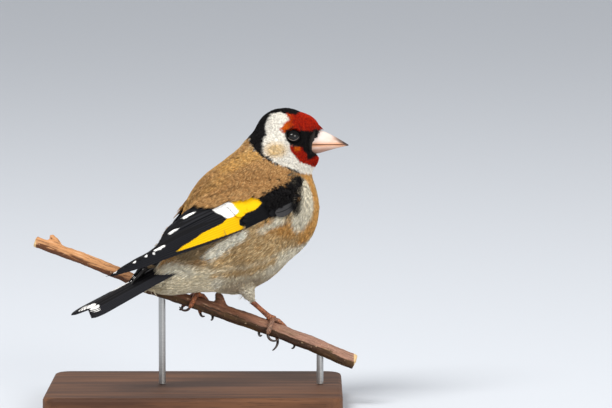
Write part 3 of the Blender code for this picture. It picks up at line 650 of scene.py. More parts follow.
def make_skin():
    """One skin for head, neck, body and thighs, sunk by the coat's depth."""
    sizes = settings_of("finch_skin")
    grow = in_mm(sizes.grow)
    skin = softened("plumage_skin", FLESH, grow, in_mm(sizes.voxel), sizes.turns)
    points, normals, _, _ = arrays_of(skin.data)
    _, coat = coat_at(points, normals)
    points -= normals * (coat[:, 1:2] + grow)
    head = local(points, "head")
    start, over = BILL_FROM
    middle, half, soft = BILL_HEIGHT
    level = eased((half - np.abs(head[:, 2] - middle)) / soft)
    beside = eased((head[:, 0] - start) / over) * level
    points -= normals * (BILL_GAP * beside)[:, None]
    skin.data.vertices.foreach_set("co", (points * MM).ravel())
    skin.data.update()
    main, _ = plumage(points)
    # The skin carries the coat's main colours darkened, as painted shade deep under the tufts
    set_colours(skin.data, "hue", main * SKIN_PAINTED_SHADE)
    unwrapped(skin)
    return finished(skin, skin_looks(), "plumage_body", *FLESH)


def tree_of(*objects, sunk=()):
    """The triangles of these objects, in millimetres, for finding what lies where.

    Those in sunk are taken that much further in, as pairs of object and depth.
    """
    points, faces = [], []
    for obj, depth in [(obj, 0.0) for obj in objects] + list(sunk):
        own, normals, corners, _ = arrays_of(obj.data)
        faces.append(corners + sum(len(p) for p in points))
        points.append(own - normals * depth)
    return BVHTree.FromPolygons(np.concatenate(points).tolist(), np.concatenate(faces).tolist())


def sprinkled(mesh, wanted, rng):
    """Random spots on a mesh, wanted ones in each triangle on average.

    Gives points, normals, the triangle of each and its weights on the corners.
    """
    points, normals, corners, _ = arrays_of(mesh)
    count = int(wanted.sum())
    picked = rng.choice(len(corners), count, p=wanted / wanted.sum())
    r = rng.random((count, 2))
    r = np.where(r.sum(1, keepdims=True) > 1, 1 - r, r)
    weights = np.column_stack((1 - r.sum(1), r))[:, :, None]
    roots = (points[corners[picked]] * weights).sum(1)
    return roots, unit((normals[corners[picked]] * weights).sum(1)), picked, weights


def thinned(roots, spacing):
    """Which roots to keep so that no two are nearer than their spacing."""
    near = KDTree(len(roots))
    for index, root in enumerate(roots):
        near.insert(root, index)
    near.balance()
    dropped = np.zeros(len(roots), bool)
    kept = []
    for index, root in enumerate(roots):
        if dropped[index]:
            continue
        kept.append(index)
        for _, other, _ in near.find_range(root, spacing[index]):
            dropped[other] = True
    return np.array(kept)


def areas_of(mesh):
    """Middle, outward way and area of each triangle."""
    points, _, corners, _ = arrays_of(mesh)
    a, b, c = (points[corners[:, i]] for i in range(3))
    cross = np.cross(b - a, c - a)
    return (a + b + c) / 3, unit(cross), np.linalg.norm(cross, axis=1) / 2


# Spots tried for each one that the spacing leaves room for, spots tried on each square
# millimetre of the wings, and the share of the spacing within which a second one is dropped
TRIES = 3.5
WING_TRIES = 3.5
CLOSEST = 0.78


def map_of(skin):
    """The skin's own map: the place of each of its loops."""
    flat = np.empty(len(skin.data.loops) * 2)
    skin.data.uv_layers["OFBake"].data.foreach_get("uv", flat)
    return flat.reshape(-1, 2)


def scattered(skin, rng):
    """Roots spread evenly over the skin at the coat's own spacing.

    Gives points, normals, places on the skin's map, ways of lie and sizes.
    """
    middle, facing, area = areas_of(skin.data)
    _, sizes = coat_at(middle, facing)
    roots, normals, picked, weights = sprinkled(skin.data, area / sizes[:, 2] ** 2 * TRIES, rng)
    kept = thinned(roots, sizes[picked, 2] * CLOSEST)
    _, _, _, loops = arrays_of(skin.data)
    spots = (map_of(skin)[loops[picked]] * weights).sum(1)
    way, sizes = coat_at(roots[kept], normals[kept])
    return roots[kept], normals[kept], spots[kept], way, sizes


# Height of a tuft's four points as shares of the coat's depth, the least height of its
# outer ones, and the spread of their heights
RISE = (0.0, 0.5, 0.8, 0.78)
LEAST = 0.08
SPREAD = 0.03
# A root with a cover this near above it grows nothing
COVERED = 2.6
# Where the search for the ground starts over a tuft, how deep it goes, and the least
# that the ground there may face the same way
SEARCH_FROM = 3.0
SEARCH_DEEP = 5.0
FACING = 0.25


def laid_out(roots, normals, ways, sizes, ground, covers, sink, rng):
    """Middle line of each tuft over the ground, in four points with their normals."""
    count = len(roots)
    lines = np.zeros((count, 4, 3))
    faces = np.zeros((count, 4, 3))
    shown = np.ones(count, bool)
    lift = rng.normal(0, SPREAD, count)
    for i in range(count):
        at, up, way = Vector(roots[i]), Vector(normals[i]), Vector(ways[i])
        if covers and covers.ray_cast(at, up, COVERED)[0] is not None:
            shown[i] = False
            continue
        length, depth = sizes[i, 0], sizes[i, 1]
        lines[i, 0] = at - up * sink
        faces[i, 0] = up
        for k in (1, 2, 3):
            ahead = at + way * (length / 3)
            hit, face, _, _ = ground.ray_cast(ahead + up * SEARCH_FROM, -up, SEARCH_DEEP)
            if hit is not None and face.dot(up) > FACING:
                at = hit
                up = (up + face).normalized()
            else:
                shown[i] = shown[i] and k > 1
                at = ahead
            way = (way - up * way.dot(up)).normalized()
            lines[i, k] = at + up * (depth * RISE[k] + LEAST + lift[i] * (k > 1))
            faces[i, k] = up
    return lines, faces, shown


def along_lines(lines, share):
    """Points at these shares, 0 to 1, along lines of four points."""
    place = np.clip(share, 0, 1) * 3
    index = np.minimum(place.astype(int), 2)
    part = (place - index)[..., None]
    rows = np.arange(len(lines))[:, None]
    return lines[rows, index] * (1 - part) + lines[rows, index + 1] * part


# Width of a strand against its tuft's and the strands' number, and how much a tuft's
# strands lean to the second colour at most
STRAND_WIDTH = 1.45
LEAN = 0.75
# Brightness of a strand at its root, at its last ring and at its tip: painted shade, darkest at the root
# deep in the coat and lightest at the tip
STRAND_PAINTED_SHADES = (0.86, 1.0, 1.04)
# Half length of a tuft's patch on the map, and half the width of a strand there
PATCH = 0.0015
MAP_STRAND = 0.0001


def strand_points(lines, faces, widths, strands, rings, rng):
    """The points of each tuft's strands, and how far to the side each strand is.

    A strand is a closed three-sided sliver: rings of three points and then its tip.
    """
    count = len(lines)
    ways = unit(np.gradient(lines, axis=1))
    sides = np.cross(faces, ways)
    spread = np.linspace(-1, 1, strands)[None] + rng.normal(0, 0.12, (count, strands))
    reach = 1.0 - 0.3 * spread**2 + rng.normal(0, 0.12, (count, strands))
    width = widths[:, None]
    points = []
    thick = width * (STRAND_WIDTH / strands) * rng.uniform(0.7, 1.3, (count, strands))
    lift = rng.uniform(-0.05, 0.16, (count, strands)) * thick
    for k in range(rings + 1):
        share = reach * k / rings
        middle = along_lines(lines, share)
        side = unit(along_lines(sides, share))
        up = unit(along_lines(faces, share))
        fan = (spread * width * (0.3 + 0.24 * np.minimum(share * 1.3, 1)))[..., None]
        middle = middle + side * fan + up * (lift * k)[..., None]
        if k == rings:
            points.append(middle[:, :, None])
            continue
        half = (thick * (0.5 if k else 0.34) * (1 - 0.35 * (k > 1)))[..., None]
        ring = (middle - side * half, middle + side * half, middle + up * half * 0.8)
        points.append(np.stack(ring, axis=2))
    return np.concatenate(points, axis=2), spread


def strand_triangles(rings):
    """The triangles of one strand, by the numbers of its points."""
    found = [(0, 1, 2)]
    for a in range(0, 3 * rings - 3, 3):
        for i in range(3):
            j = (i + 1) % 3
            found += [(a + j, a + i, a + 3 + i), (a + j, a + 3 + i, a + 3 + j)]
    a = 3 * (rings - 1)
    return np.array(found + [(a + (i + 1) % 3, a + i, a + 3) for i in range(3)])


def strand_colours(colours, leans, strands, rings, rng):
    """The colour of each strand's points, between its tuft's two, in painted shade that is darkest at the
    root and lifts to the tip.
    """
    count = len(colours)
    pick = LEAN * rng.random((count, strands, 1)) ** 1.6
    tone = rng.normal(1.0, 0.04, (count, 1)) * rng.normal(1.0, 0.07, (count, strands))
    hue = (colours[:, None] * (1 - pick) + leans[:, None] * pick) * tone[..., None]
    # Painted shade along each strand, darkest at its root
    root, end, tip = STRAND_PAINTED_SHADES
    shade = np.append(np.repeat(np.linspace(root, end, rings), 3), tip)
    return np.clip(hue[:, :, None] * shade[None, None, :, None], 0, 1)


def strand_map(spots, spread, rings):
    """Each point's place on the map, in a small patch at its tuft's own."""
    step = np.append(np.repeat(np.arange(rings) / rings, 3), 1.0)
    flat = np.zeros((*spread.shape, 3 * rings + 1, 2))
    flat[..., 0] = spots[:, None, None, 0] + PATCH * spread[..., None]
    flat[..., 0] += np.append(np.tile((-MAP_STRAND, MAP_STRAND, 0.0), rings), 0.0)
    flat[..., 1] = spots[:, None, None, 1] + 2 * PATCH * (step - 0.5)
    return flat


def triangle_mesh(name, points, triangles, uv=None):
    """A mesh from arrays, in millimetres."""
    mesh = bpy.data.meshes.new(name)
    mesh.vertices.add(len(points))
    mesh.vertices.foreach_set("co", (points * MM).astype(np.float32).ravel())
    mesh.loops.add(triangles.size)
    mesh.loops.foreach_set("vertex_index", triangles.astype(np.int32).ravel())
    mesh.polygons.add(len(triangles))
    mesh.polygons.foreach_set("loop_start", np.arange(len(triangles), dtype=np.int32) * 3)
    mesh.update(calc_edges=True)
    mesh.polygons.foreach_set("use_smooth", np.ones(len(triangles), bool))
    if uv is not None:
        layer = mesh.uv_layers.new(name="OFBake")
        layer.data.foreach_set("uv", uv[triangles.ravel()].astype(np.float32).ravel())
    return mesh


# The most triangles that one coat piece is given, and the rings of points in a strand
MOST_FACES = 190000
RINGS = 2


def add_coat(name, seeds, strands, looks, slot, rng):
    """Coat pieces of tufts, each piece below the most triangles that one is given.

    The seeds are lines, their normals, widths, two colours and places on the map.
    """
    of_one = strand_triangles(RINGS)
    each = MOST_FACES // (strands * len(of_one))
    parts = max(1, math.ceil(len(seeds[0]) / each))
    for part, chosen in enumerate(np.array_split(np.arange(len(seeds[0])), parts)):
        lines, faces, widths, colours, leans, spots = (column[chosen] for column in seeds)
        points, spread = strand_points(lines, faces, widths, strands, RINGS, rng)
        hue = strand_colours(colours, leans, strands, RINGS, rng)
        flat = strand_map(spots, spread, RINGS)
        starts = np.arange(spread.size) * points.shape[2]
        triangles = (starts[:, None, None] + of_one).reshape(-1, 3)
        name_here = f"{name}_{part + 1}"
        mesh = triangle_mesh(name_here, points.reshape(-1, 3), triangles, flat.reshape(-1, 2))
        set_colours(mesh, "hue", hue.reshape(-1, 3))
        finished(linked(name_here, mesh), looks, slot)


# Lower and upper edge of each folded wing in the body's frame, from wrist to tip
WING_LOWER = (
    (0.0, (16.0, -15.8, 73.0)), (0.2, (1.6, -19.5, 68.4)), (0.48, (-17.5, -16.5, 62.1)),
    (0.65, (-27.9, -10.5, 58.0)), (0.82, (-37.4, -3.5, 53.6)), (1.0, (-47.7, 3.5, 49.7)),
)
WING_UPPER = (
    (0.0, (16.5, -14.0, 82.0)), (0.2, (1.0, -13.5, 80.0)), (0.35, (-8.0, -10.0, 77.5)),
    (0.5, (-18.6, -6.0, 72.6)), (0.6, (-24.0, -3.5, 67.6)), (0.75, (-31.6, -1.6, 59.6)),
    (0.9, (-40.5, 1.2, 53.8)), (1.0, (-47.2, 3.2, 50.0)),
)
LEFT_LOWER = (
    (0.0, (16.0, -15.8, 73.0)), (0.2, (1.6, -19.5, 68.4)), (0.48, (-15.5, -17.0, 57.6)),
    (0.65, (-24.5, -11.8, 54.0)), (0.82, (-32.5, -6.4, 51.4)), (1.0, (-40.5, -1.0, 47.8)),
)
LEFT_UPPER = (
    (0.0, (16.5, -14.0, 82.0)), (0.2, (1.0, -13.5, 80.0)), (0.35, (-7.5, -10.0, 74.2)),
    (0.5, (-17.0, -6.5, 67.6)), (0.6, (-21.5, -4.5, 63.0)), (0.75, (-27.5, -3.0, 56.6)),
    (0.9, (-35.5, -1.8, 51.9)), (1.0, (-40.2, -1.0, 48.4)),
)
# The same edges as places and points, by side; the wing's length from wrist to tip; how far
# its middle stands out at the wrist, and the share of that which is lost by the tip
EDGES = {
    "right": ([(t, Vector(p)) for t, p in WING_LOWER], [(t, Vector(p)) for t, p in WING_UPPER]),
    "left": ([(t, Vector(p)) for t, p in LEFT_LOWER], [(t, Vector(p)) for t, p in LEFT_UPPER]),
}
WING_SPAN = 66.0
BULGE = 2.4
FLATTER = 0.8


def edge_at(table, t):
    """A point of one wing edge, curved smoothly between its listed points."""
    last = len(table) - 1
    index = max(i for i in range(last) if table[i][0] <= t or i == 0)
    t0, start = table[index]
    t1, end = table[index + 1]
    s = (t - t0) / (t1 - t0)
    before = table[max(index - 1, 0)]
    after = table[min(index + 2, last)]
    lead = (end - before[1]) / (t1 - before[0]) * (t1 - t0)
    trail = (after[1] - start) / (after[0] - t0) * (t1 - t0)
    s = max(0.0, min(1.0, s))
    curve = start * (2 * s**3 - 3 * s**2 + 1) + lead * (s**3 - 2 * s**2 + s)
    return curve + end * (3 * s**2 - 2 * s**3) + trail * (s**3 - s**2)


@functools.lru_cache(None)
def wing_section(side, t):
    """Lower edge, way across, breadth and outward way of the folded wing at t."""
    lows, highs = EDGES[side]
    inside = max(0.0, min(t, 1.0))
    lower = edge_at(lows, inside)
    across = edge_at(highs, inside) - lower
    ahead = edge_at(lows, min(inside + 0.05, 1)) - edge_at(lows, max(inside - 0.05, 0))
    out = ahead.cross(across).normalized()
    if out.y > 0:
        out = -out
    lower = lower + ahead.normalized() * ((t - inside) * WING_SPAN)
    return lower, across.normalized(), across.length, out


def wing_point(side, t, d, h):
    """A point of the folded wing: t along, d up from the lower edge, h out from the body."""
    lower, across, breadth, out = wing_section(side, round(t, 5))
    share = max(0.0, min(1.0, d / breadth))
    bulge = BULGE * math.sin(math.pi * share) * (1 - max(0.0, t) * FLATTER)
    point = lower + across * d + out * (bulge + h)
    mirror = np.array((1, -1 if side == "left" else 1, 1))
    return outer(np.array(point) * mirror, "body"), (np.array(out) * mirror) @ axes("body")


# Markings of the folded wing as outlines in t and d
YELLOW = (
    (0.35, 10.2), (0.295, 10.8), (0.21, 8.3), (0.195, 5.6), (0.235, 4.4), (0.28, 4.4), (0.315, 3.6),
    (0.318, 1.9), (0.295, 0.9), (0.285, 0.5), (0.45, 0.6), (0.60, 0.7), (0.65, 0.75), (0.615, 1.7),
    (0.565, 2.4), (0.50, 3.7), (0.40, 4.4), (0.372, 5.4), (0.36, 8.0),
)
WHITE = (
    (0.43, 10.2), (0.35, 10.9), (0.335, 9.6), (0.325, 7.4), (0.312, 5.7), (0.345, 5.2), (0.375, 5.4),
    (0.395, 7.2), (0.42, 9.0),
)
# White marks at the feathers' tips: t, d, half length and half width in millimetres
TIP_MARKS = (
    (0.53, 12.1, 2.2, 0.5), (0.545, 11.6, 1.0, 0.4), (0.625, 8.1, 2.0, 0.45), (0.64, 7.7, 0.9, 0.35),
    (0.70, 3.7, 0.8, 0.45), (0.722, 3.4, 1.0, 0.5), (0.742, 3.3, 0.7, 0.45), (0.757, 2.4, 0.5, 0.4),
    (0.80, 2.5, 0.65, 0.5), (0.866, 1.9, 0.7, 0.5), (0.972, 0.8, 0.75, 0.5), (0.955, -1.6, 0.8, 0.55),
)


def outline_depth(t, d, outline):
    """How far points of the wing lie inside one of its markings, in millimetres."""
    stretched = [(a * WING_SPAN, b) for a, b in outline]
    return depth_in(np.column_stack((t * WING_SPAN, d)), stretched)


def wing_marks(t, d):
    """How deep points of a folded wing lie in its yellow and in its white."""
    white = outline_depth(t, d, WHITE)
    for at, up, length, width in TIP_MARKS:
        far = np.hypot((t - at) * WING_SPAN / length, (d - up) / width)
        white = np.maximum(white, (1 - far) * width * 1.6)
    return outline_depth(t, d, YELLOW), white


class Vanes:
    """Flight feathers gathered as arrays, with where each point lies on its feather."""

    def __init__(self):
        self.points, self.triangles, self.marks, self.flats = [], [], [], []
        self.count = 0
        self.number = 0

    def add(self, place, marks, length, width, size, thick, pale=0.0):
        """Adds a feather as a closed sheet with a low ridge for its shaft.

        place(s, c) gives a point at s along it and c across, its outward way, and two
        places for marks to read. Size is the number of its steps along and across.
        """
        rows, columns = size
        across = np.linspace(-1, 1, columns + 1)
        c = np.tile(across, rows + 1)
        s = np.repeat(np.linspace(0, 1, rows + 1), columns + 1)
        put = [place(*pair) for pair in zip(s, c)]
        point = np.array([tuple(p[0]) for p in put])
        out = np.array([tuple(p[1]) for p in put])
        ridge = np.where((c == 0) & (s < 0.97), 0.5 * thick, 0.0)
        thin = thick * (1 - 0.6 * c**2) * (1 - 0.5 * s)
        grid = np.concatenate((point + out * ridge[:, None], point - out * thin[:, None]))
        flat = np.tile(np.column_stack((c * width / 2, s * length)), (2, 1))
        yellow, white = marks(np.array([p[2] for p in put]), np.array([p[3] for p in put]))
        self.number += 1
        tone = np.full(len(s), self.number * 0.37 % 1.0 * 0.5)
        mark = np.tile(np.column_stack((yellow, white, np.full(len(s), pale), tone)), (2, 1))
        i, j = (x.ravel() for x in np.meshgrid(range(rows), range(columns), indexing="ij"))
        a = i * (columns + 1) + j
        base = len(s)
        top = np.column_stack((a, a + 1, a + columns + 2, a + columns + 1))
        rim = list(range(columns + 1))
        rim += [k * (columns + 1) + columns for k in range(1, rows + 1)]
        rim += [rows * (columns + 1) + k for k in range(columns - 1, -1, -1)]
        rim += [k * (columns + 1) for k in range(rows - 1, 0, -1)]
        rim = np.array(rim)
        following = np.roll(rim, -1)
        wall = np.column_stack((following, rim, base + rim, base + following))
        quads = np.concatenate((top, base + top[:, ::-1], wall))
        p, q, r = (grid[top[0, k]] for k in (0, 1, 3))
        if np.cross(q - p, r - p) @ out[0] < 0:
            quads = quads[:, ::-1]
        self.points.append(grid)
        self.triangles.append(np.concatenate((quads[:, [0, 1, 2]], quads[:, [0, 2, 3]])) + self.count)
        self.flats.append(flat)
        self.marks.append(mark)
        self.count += len(grid)

    def made(self, name):
        """All of the feathers as one object."""
        triangles = np.concatenate(self.triangles)
        mesh = triangle_mesh(name, np.concatenate(self.points), triangles)
        marks = np.concatenate(self.marks)
        for column, key in enumerate(("yellow", "white", "pale", "tone")):
            set_values(mesh, key, marks[:, column])
        layer = mesh.uv_layers.new(name="Vane")
        flat = np.concatenate(self.flats)
        layer.data.foreach_set("uv", flat[triangles.ravel()].astype(np.float32).ravel())
        return linked(name, mesh)


def vane_outline(s, blunt=0.2):
    """Half width of a feather along its length, against its widest."""
    root = eased(min(1.0, 0.35 + s / 0.25))
    tip = math.sqrt(max(0.0, 1 - (max(0.0, s - 1 + blunt) / blunt) ** 2.2))
    return float(root) * max(0.05, tip)


def lower_line(edge, s):
    """A smooth curve through the edge's three heights, at root, middle and tip."""
    return edge[0] * (1 - s) * (1 - 2 * s) + edge[1] * 4 * s * (1 - s) + edge[2] * s * (2 * s - 1)


def add_wing_vane(
    vanes, side, reach, edge, width, height, size, thick=0.15, blunt=0.2, lean=0.0, pale=0.0
):
    """One wing feather from t = reach[0] to reach[1], its lower side up by edge.

    Height is how far out of the wing it lies, at its root and its tip. Lean 1 keeps the
    lower side straight to the tip, and 0 narrows both sides alike.
    """
    length = (reach[1] - reach[0]) * WING_SPAN

    def place(s, c):
        t = reach[0] + (reach[1] - reach[0]) * s
        outline = vane_outline(s, blunt)
        middle = lower_line(edge, s) + width / 2 * (1 - lean + lean * outline)
        d = middle + c * width / 2 * outline
        h = height[0] + (height[1] - height[0]) * s
        point, out = wing_point(side, t, d, h + 0.14 * (1 - c * c))
        return point, out, t, d

    vanes.add(place, wing_marks, length, width, size, thick, pale)


# Tips of the long outer feathers and of the three innermost, as t
PRIMARY_TIPS = (0.99, 1.02, 1.0, 0.965, 0.915, 0.875, 0.84, 0.81, 0.785)
TERTIAL_TIPS = (0.67, 0.60, 0.52)
# Depth of the outermost feather, how far over it the next one lies, and how thick the
# short feathers over them are
LOWEST = -0.9
LAYER = 0.2
COVERT_THICK = 0.14


def add_quills(vanes, side):
    """The long feathers: nine outer ones, six inner ones and three over them."""
    for k, tip in enumerate(PRIMARY_TIPS):
        h = LOWEST + LAYER * k
        edge = (0.7 + 0.55 * k, -0.3 + 0.72 * k, -0.25 + 0.3 * k)
        height = (h, h + 0.3 - 0.04 * k)
        add_wing_vane(vanes, side, (0.10, tip), edge, 4.4, height, (64, 8), blunt=0.26, lean=1.0)
    for k in range(6):
        h = LOWEST + LAYER * (9 + 0.7 * k)
        edge = (5.2 + 0.8 * k, 5.7 + 0.8 * k, 2.8 + 0.7 * k)
        reach = (0.16 + 0.01 * k, 0.76 - 0.011 * k)
        add_wing_vane(vanes, side, reach, edge, 4.6, (h, h - 0.5), (42, 8), lean=0.4)
    for k, tip in enumerate(TERTIAL_TIPS):
        h = LOWEST + LAYER * (13.4 + k)
        edge = (8.6 + 0.9 * k, 8.8 + 1.4 * k, 6.2 + 2.6 * k)
        reach = (0.22 - 0.01 * k, tip)
        add_wing_vane(vanes, side, reach, edge, 5.4, (h, h - 0.4), (36, 10), blunt=0.3)


def add_coverts(vanes, side):
    """Four rows of short feathers over the long ones' roots, from the lower edge up."""
    for k in range(7):
        h = 0.45 + 0.12 * k
        edge = (0.5 + 0.62 * k, 0.5 + 0.62 * k, 0.4 + 0.62 * k)
        reach = (0.03, 0.30 - 0.004 * k + 0.012 * (k % 2))
        add_wing_vane(vanes, side, reach, edge, 2.6, (h, h + 0.35), (20, 6), COVERT_THICK)
    for k in range(9):
        h = 0.95 + 0.13 * k
        edge = (3.2 + 0.95 * k, 3.4 + 0.98 * k, 3.7 + 0.98 * k)
        reach = (0.10 + 0.004 * k, 0.335 + 0.007 * k)
        add_wing_vane(vanes, side, reach, edge, 2.9, (h, h + 0.3), (20, 6), COVERT_THICK)
    for k in range(8):
        h = 1.5 + 0.12 * k
        edge = (3.6 + 0.9 * k, 3.9 + 0.95 * k, 4.1 + 0.98 * k)
        reach = (0.07, 0.20 + 0.004 * k)
        add_wing_vane(vanes, side, reach, edge, 2.6, (h - 0.3, h + 0.15), (12, 6), COVERT_THICK)
    for k in range(3):
        h = 1.5 + 0.16 * k
        edge = (-0.5 + 0.8 * k, -0.6 + 0.9 * k, -0.2 + 0.6 * k)
        reach = (-0.01, 0.17 - 0.03 * k)
        add_wing_vane(vanes, side, reach, edge, 3.0, (h, h + 0.2), (12, 6), COVERT_THICK)


def make_wing(side, looks):
    """One folded wing, with the small grey feather at its bend.

    The left one has four more pale feathers below, which show past the tail.
    """
    vanes = Vanes()
    add_quills(vanes, side)
    add_coverts(vanes, side)
    edge = (-0.9, -1.9, -1.3)
    add_wing_vane(vanes, side, (0.0, 0.135), edge, 4.0, (1.9, 2.1), (14, 8), 0.2, 0.5, pale=1.0)
    for k in range(4 if side == "left" else 0):
        h = -1.3 - 0.2 * k
        edge = (-0.6 - 0.8 * k, -1.4 - 0.95 * k, -1.5 - 0.9 * k)
        reach = (0.45, 1.0 - 0.04 * k)
        add_wing_vane(vanes, side, reach, edge, 3.4, (h, h + 0.2), (40, 8), lean=0.6, pale=1.6)
    wing = vanes.made(f"wing_feathers_{side}")
    return finished(wing, looks, "feathers_black", f"wing_{side}")


def feather_looks(name):
    """Black vanes with the yellow and white that each carries, barbs and a glossy shaft."""
    colours = settings_of("finch_colours")
    looks = Looks(name, Specular_Ior_Level=0.1)
    flat = looks.node("ShaderNodeUVMap", {"uv_map": "Vane"})
    across, along, _ = looks.parts(flat)
    lean = across.math("ABSOLUTE")
    barb = along - lean * 0.9
    side = across.math("SIGN") * 7.0
    line = looks.node("ShaderNodeCombineXYZ", {}, barb * 5.0, lean * 0.5, side)
    ragged = looks.noise(line, 1.0, 2.0)
    edge = (ragged - 0.5) * 1.3
    yellow = (looks.attribute("yellow", "Fac") + edge).clipped(-0.08, 0.08)
    white = (looks.attribute("white", "Fac") + edge).clipped(-0.08, 0.08)
    tone = looks.attribute("tone", "Fac")
    dark = looks.mixed(tone * 0.5 + ragged * 0.3, colours.wing_black, (20, 20, 23))
    rim = (lean - 1.8).clipped(-0.2, 0.3)
    dark = looks.mixed(rim * 0.5, dark, (42, 43, 48))
    dark = looks.mixed(looks.attribute("pale", "Fac") * (0.55 + ragged * 0.4), dark, (72, 71, 72))
    paled = looks.mixed(ragged * 0.4, colours.wing_yellow, (244, 202, 16))
    shown = looks.mixed(yellow, dark, paled)
    shown = looks.mixed(white, shown, colours.wing_white)
    shaft = 1 - lean.clipped(0.1, 0.2)
    shown = looks.mixed(shaft * (1 - yellow) * (1 - white), shown, (16, 15, 16))
    looks.feed("Base Color", shown)
    looks.feed("Roughness", 0.58 + ragged * 0.2 - shaft * 0.2)
    lines = (barb * 20.0).math("SINE")
    looks.bump(lines * 0.6 + ragged * 0.8, 0.3, 0.00008)
    return looks


# Middle and half length of the arm's pad along the wing, and its grid's steps
ARM_MIDDLE = 0.15
ARM_HALF = 0.15
ARM_STEPS = 12


def make_arm(side):
    """The closed, rounded pad of the folded arm under the coverts."""
    bm = bmesh.new()
    bmesh.ops.create_grid(bm, x_segments=ARM_STEPS, y_segments=ARM_STEPS, size=1)
    low = bmesh.ops.duplicate(bm, geom=bm.verts[:] + bm.edges[:] + bm.faces[:])
    below = {item for item in low["geom"] if isinstance(item, bmesh.types.BMVert)}
    for vert in bm.verts:
        x, y = vert.co.x, vert.co.y
        t = ARM_MIDDLE + ARM_HALF * x
        high = (1 - x**4) * (1 - y**4)
        span = wing_section(side, round(t, 5))[2]
        full = math.sqrt(1 - max(0.0, 1 - (t + 0.01) / 0.12) ** 2)
        d = span / 2 + (span / 2 - 0.6) * y * full
        h = -1.8 - 0.6 * high if vert in below else -1.3 + 2.0 * high
        vert.co = Vector(wing_point(side, t, d, h)[0])
    rims = [edge for edge in bm.edges if edge.is_boundary]
    bmesh.ops.bridge_loops(bm, edges=rims)
    bmesh.ops.recalc_face_normals(bm, faces=bm.faces)
    arm = from_bmesh(f"wing_arm_{side}", bm)
    looks = Looks(f"arm_{side}", Base_Color=(*linear((24, 23, 25)), 1), Roughness=0.85)
    looks.bump(looks.noise(looks.place(), 1800.0), 0.4, 0.0002)
    return finished(arm, looks, "feathers_black")


def make_wings():
    """Both folded wings, feather by feather, over the pads of their arms."""
    looks = feather_looks("wing_vanes")
    for side in EDGES:
        make_wing(side, looks)
        make_arm(side)


# Where the mantle's feathers end over the wing: t, and how far up its edge
SCAPULARS = (
    (-0.06, 10.6), (0.0, 10.0), (0.055, 8.6), (0.11, 8.3), (0.175, 7.6), (0.21, 8.4), (0.29, 9.4),
    (0.335, 10.2), (0.41, 10.2), (0.445, 12.6), (0.47, 20.0),
)
# Length, depth, spacing and width of what grows over the wings, and how far it sinks
# toward the lower edge in a twentieth of the wing's length
SHOULDER_COATS = {
    "back": (4.4, 0.8, 0.8, 1.7),
    "black": (2.8, 0.9, 0.66, 1.4),
    "smoky": (3.4, 1.0, 0.66, 1.1),
}
SHOULDER_DROPS = {"back": 1.3, "black": 0.5, "smoky": -0.8}
# How far from the wing's face a spot may be to grow them, and the part of the wing that
# is searched: t from, to and by, and d from, past the upper edge and by
WING_REACH = 3.6
SEARCHED_T = (-0.1, 0.52, 0.01)
SEARCHED_D = (-1.0, 6.0, 0.5)


def wing_places(roots):
    """The wing's t and d nearest to each root, its side, and how far off that place is."""
    grid = []
    first, over, step = SEARCHED_D
    for side in EDGES:
        for t in np.arange(*SEARCHED_T):
            breadth = wing_section(side, round(t, 5))[2]
            grid += [(side, t, d) for d in np.arange(first, breadth + over, step)]
    near = KDTree(len(grid))
    for index, (side, t, d) in enumerate(grid):
        near.insert(wing_point(side, t, d, 1.2)[0], index)
    near.balance()
    found = [near.find(root) for root in roots]
    return [(*grid[index], far) for _, index, far in found]


def shoulder_kind(t, d):
    """What grows at a place of the folded wing, if anything."""
    line = np.interp(t, *zip(*SCAPULARS))
    if d > line + 0.9:
        return "back" if t > -0.035 else None
    if -0.03 < t < 0.165 - 0.016 * max(0.0, 4.0 - d) and d > 2.6 - 20 * max(0.0, 0.02 - t):
        return "black"
    if -0.08 < t <= 0.0 and d > 0.5:
        return "smoky"
    return None


def wing_tufts(envelope, ground, rng):
    """Seeds of tufts over the wings: brown scapulars and the black fluff of the bend."""
    _, _, area = areas_of(envelope.data)
    points, facing, _, _ = sprinkled(envelope.data, area * WING_TRIES, rng)
    roots, normals, ways, kinds = [], [], [], []
    for point, normal, (side, t, d, far) in zip(points, facing, wing_places(points)):
        kind = shoulder_kind(t, d)
        if far > WING_REACH or kind is None:
            continue
        hit = ground.ray_cast(Vector(point + normal * 4.0), Vector(-normal), 8.0)[0]
        if hit is None:
            continue
        here, _ = wing_point(side, t, d, 1.0)
        ahead, _ = wing_point(side, t + 0.05, d - SHOULDER_DROPS[kind], 1.0)
        way = unit(ahead - here)
        roots.append(tuple(hit))
        normals.append(normal)
        ways.append(unit(way - normal * (way @ normal)))
        kinds.append(kind)
    roots, normals, ways, kinds = (np.array(x) for x in (roots, normals, ways, kinds))
    sizes = np.array([SHOULDER_COATS[kind] for kind in kinds])
    kept = thinned(roots, sizes[:, 2] * CLOSEST)
    return [x[kept] for x in (roots, normals, ways, sizes, kinds)]


# Number and width of the tufts over the bill's base
NOSE_TUFTS = 260
NOSE_WIDTH = 0.6


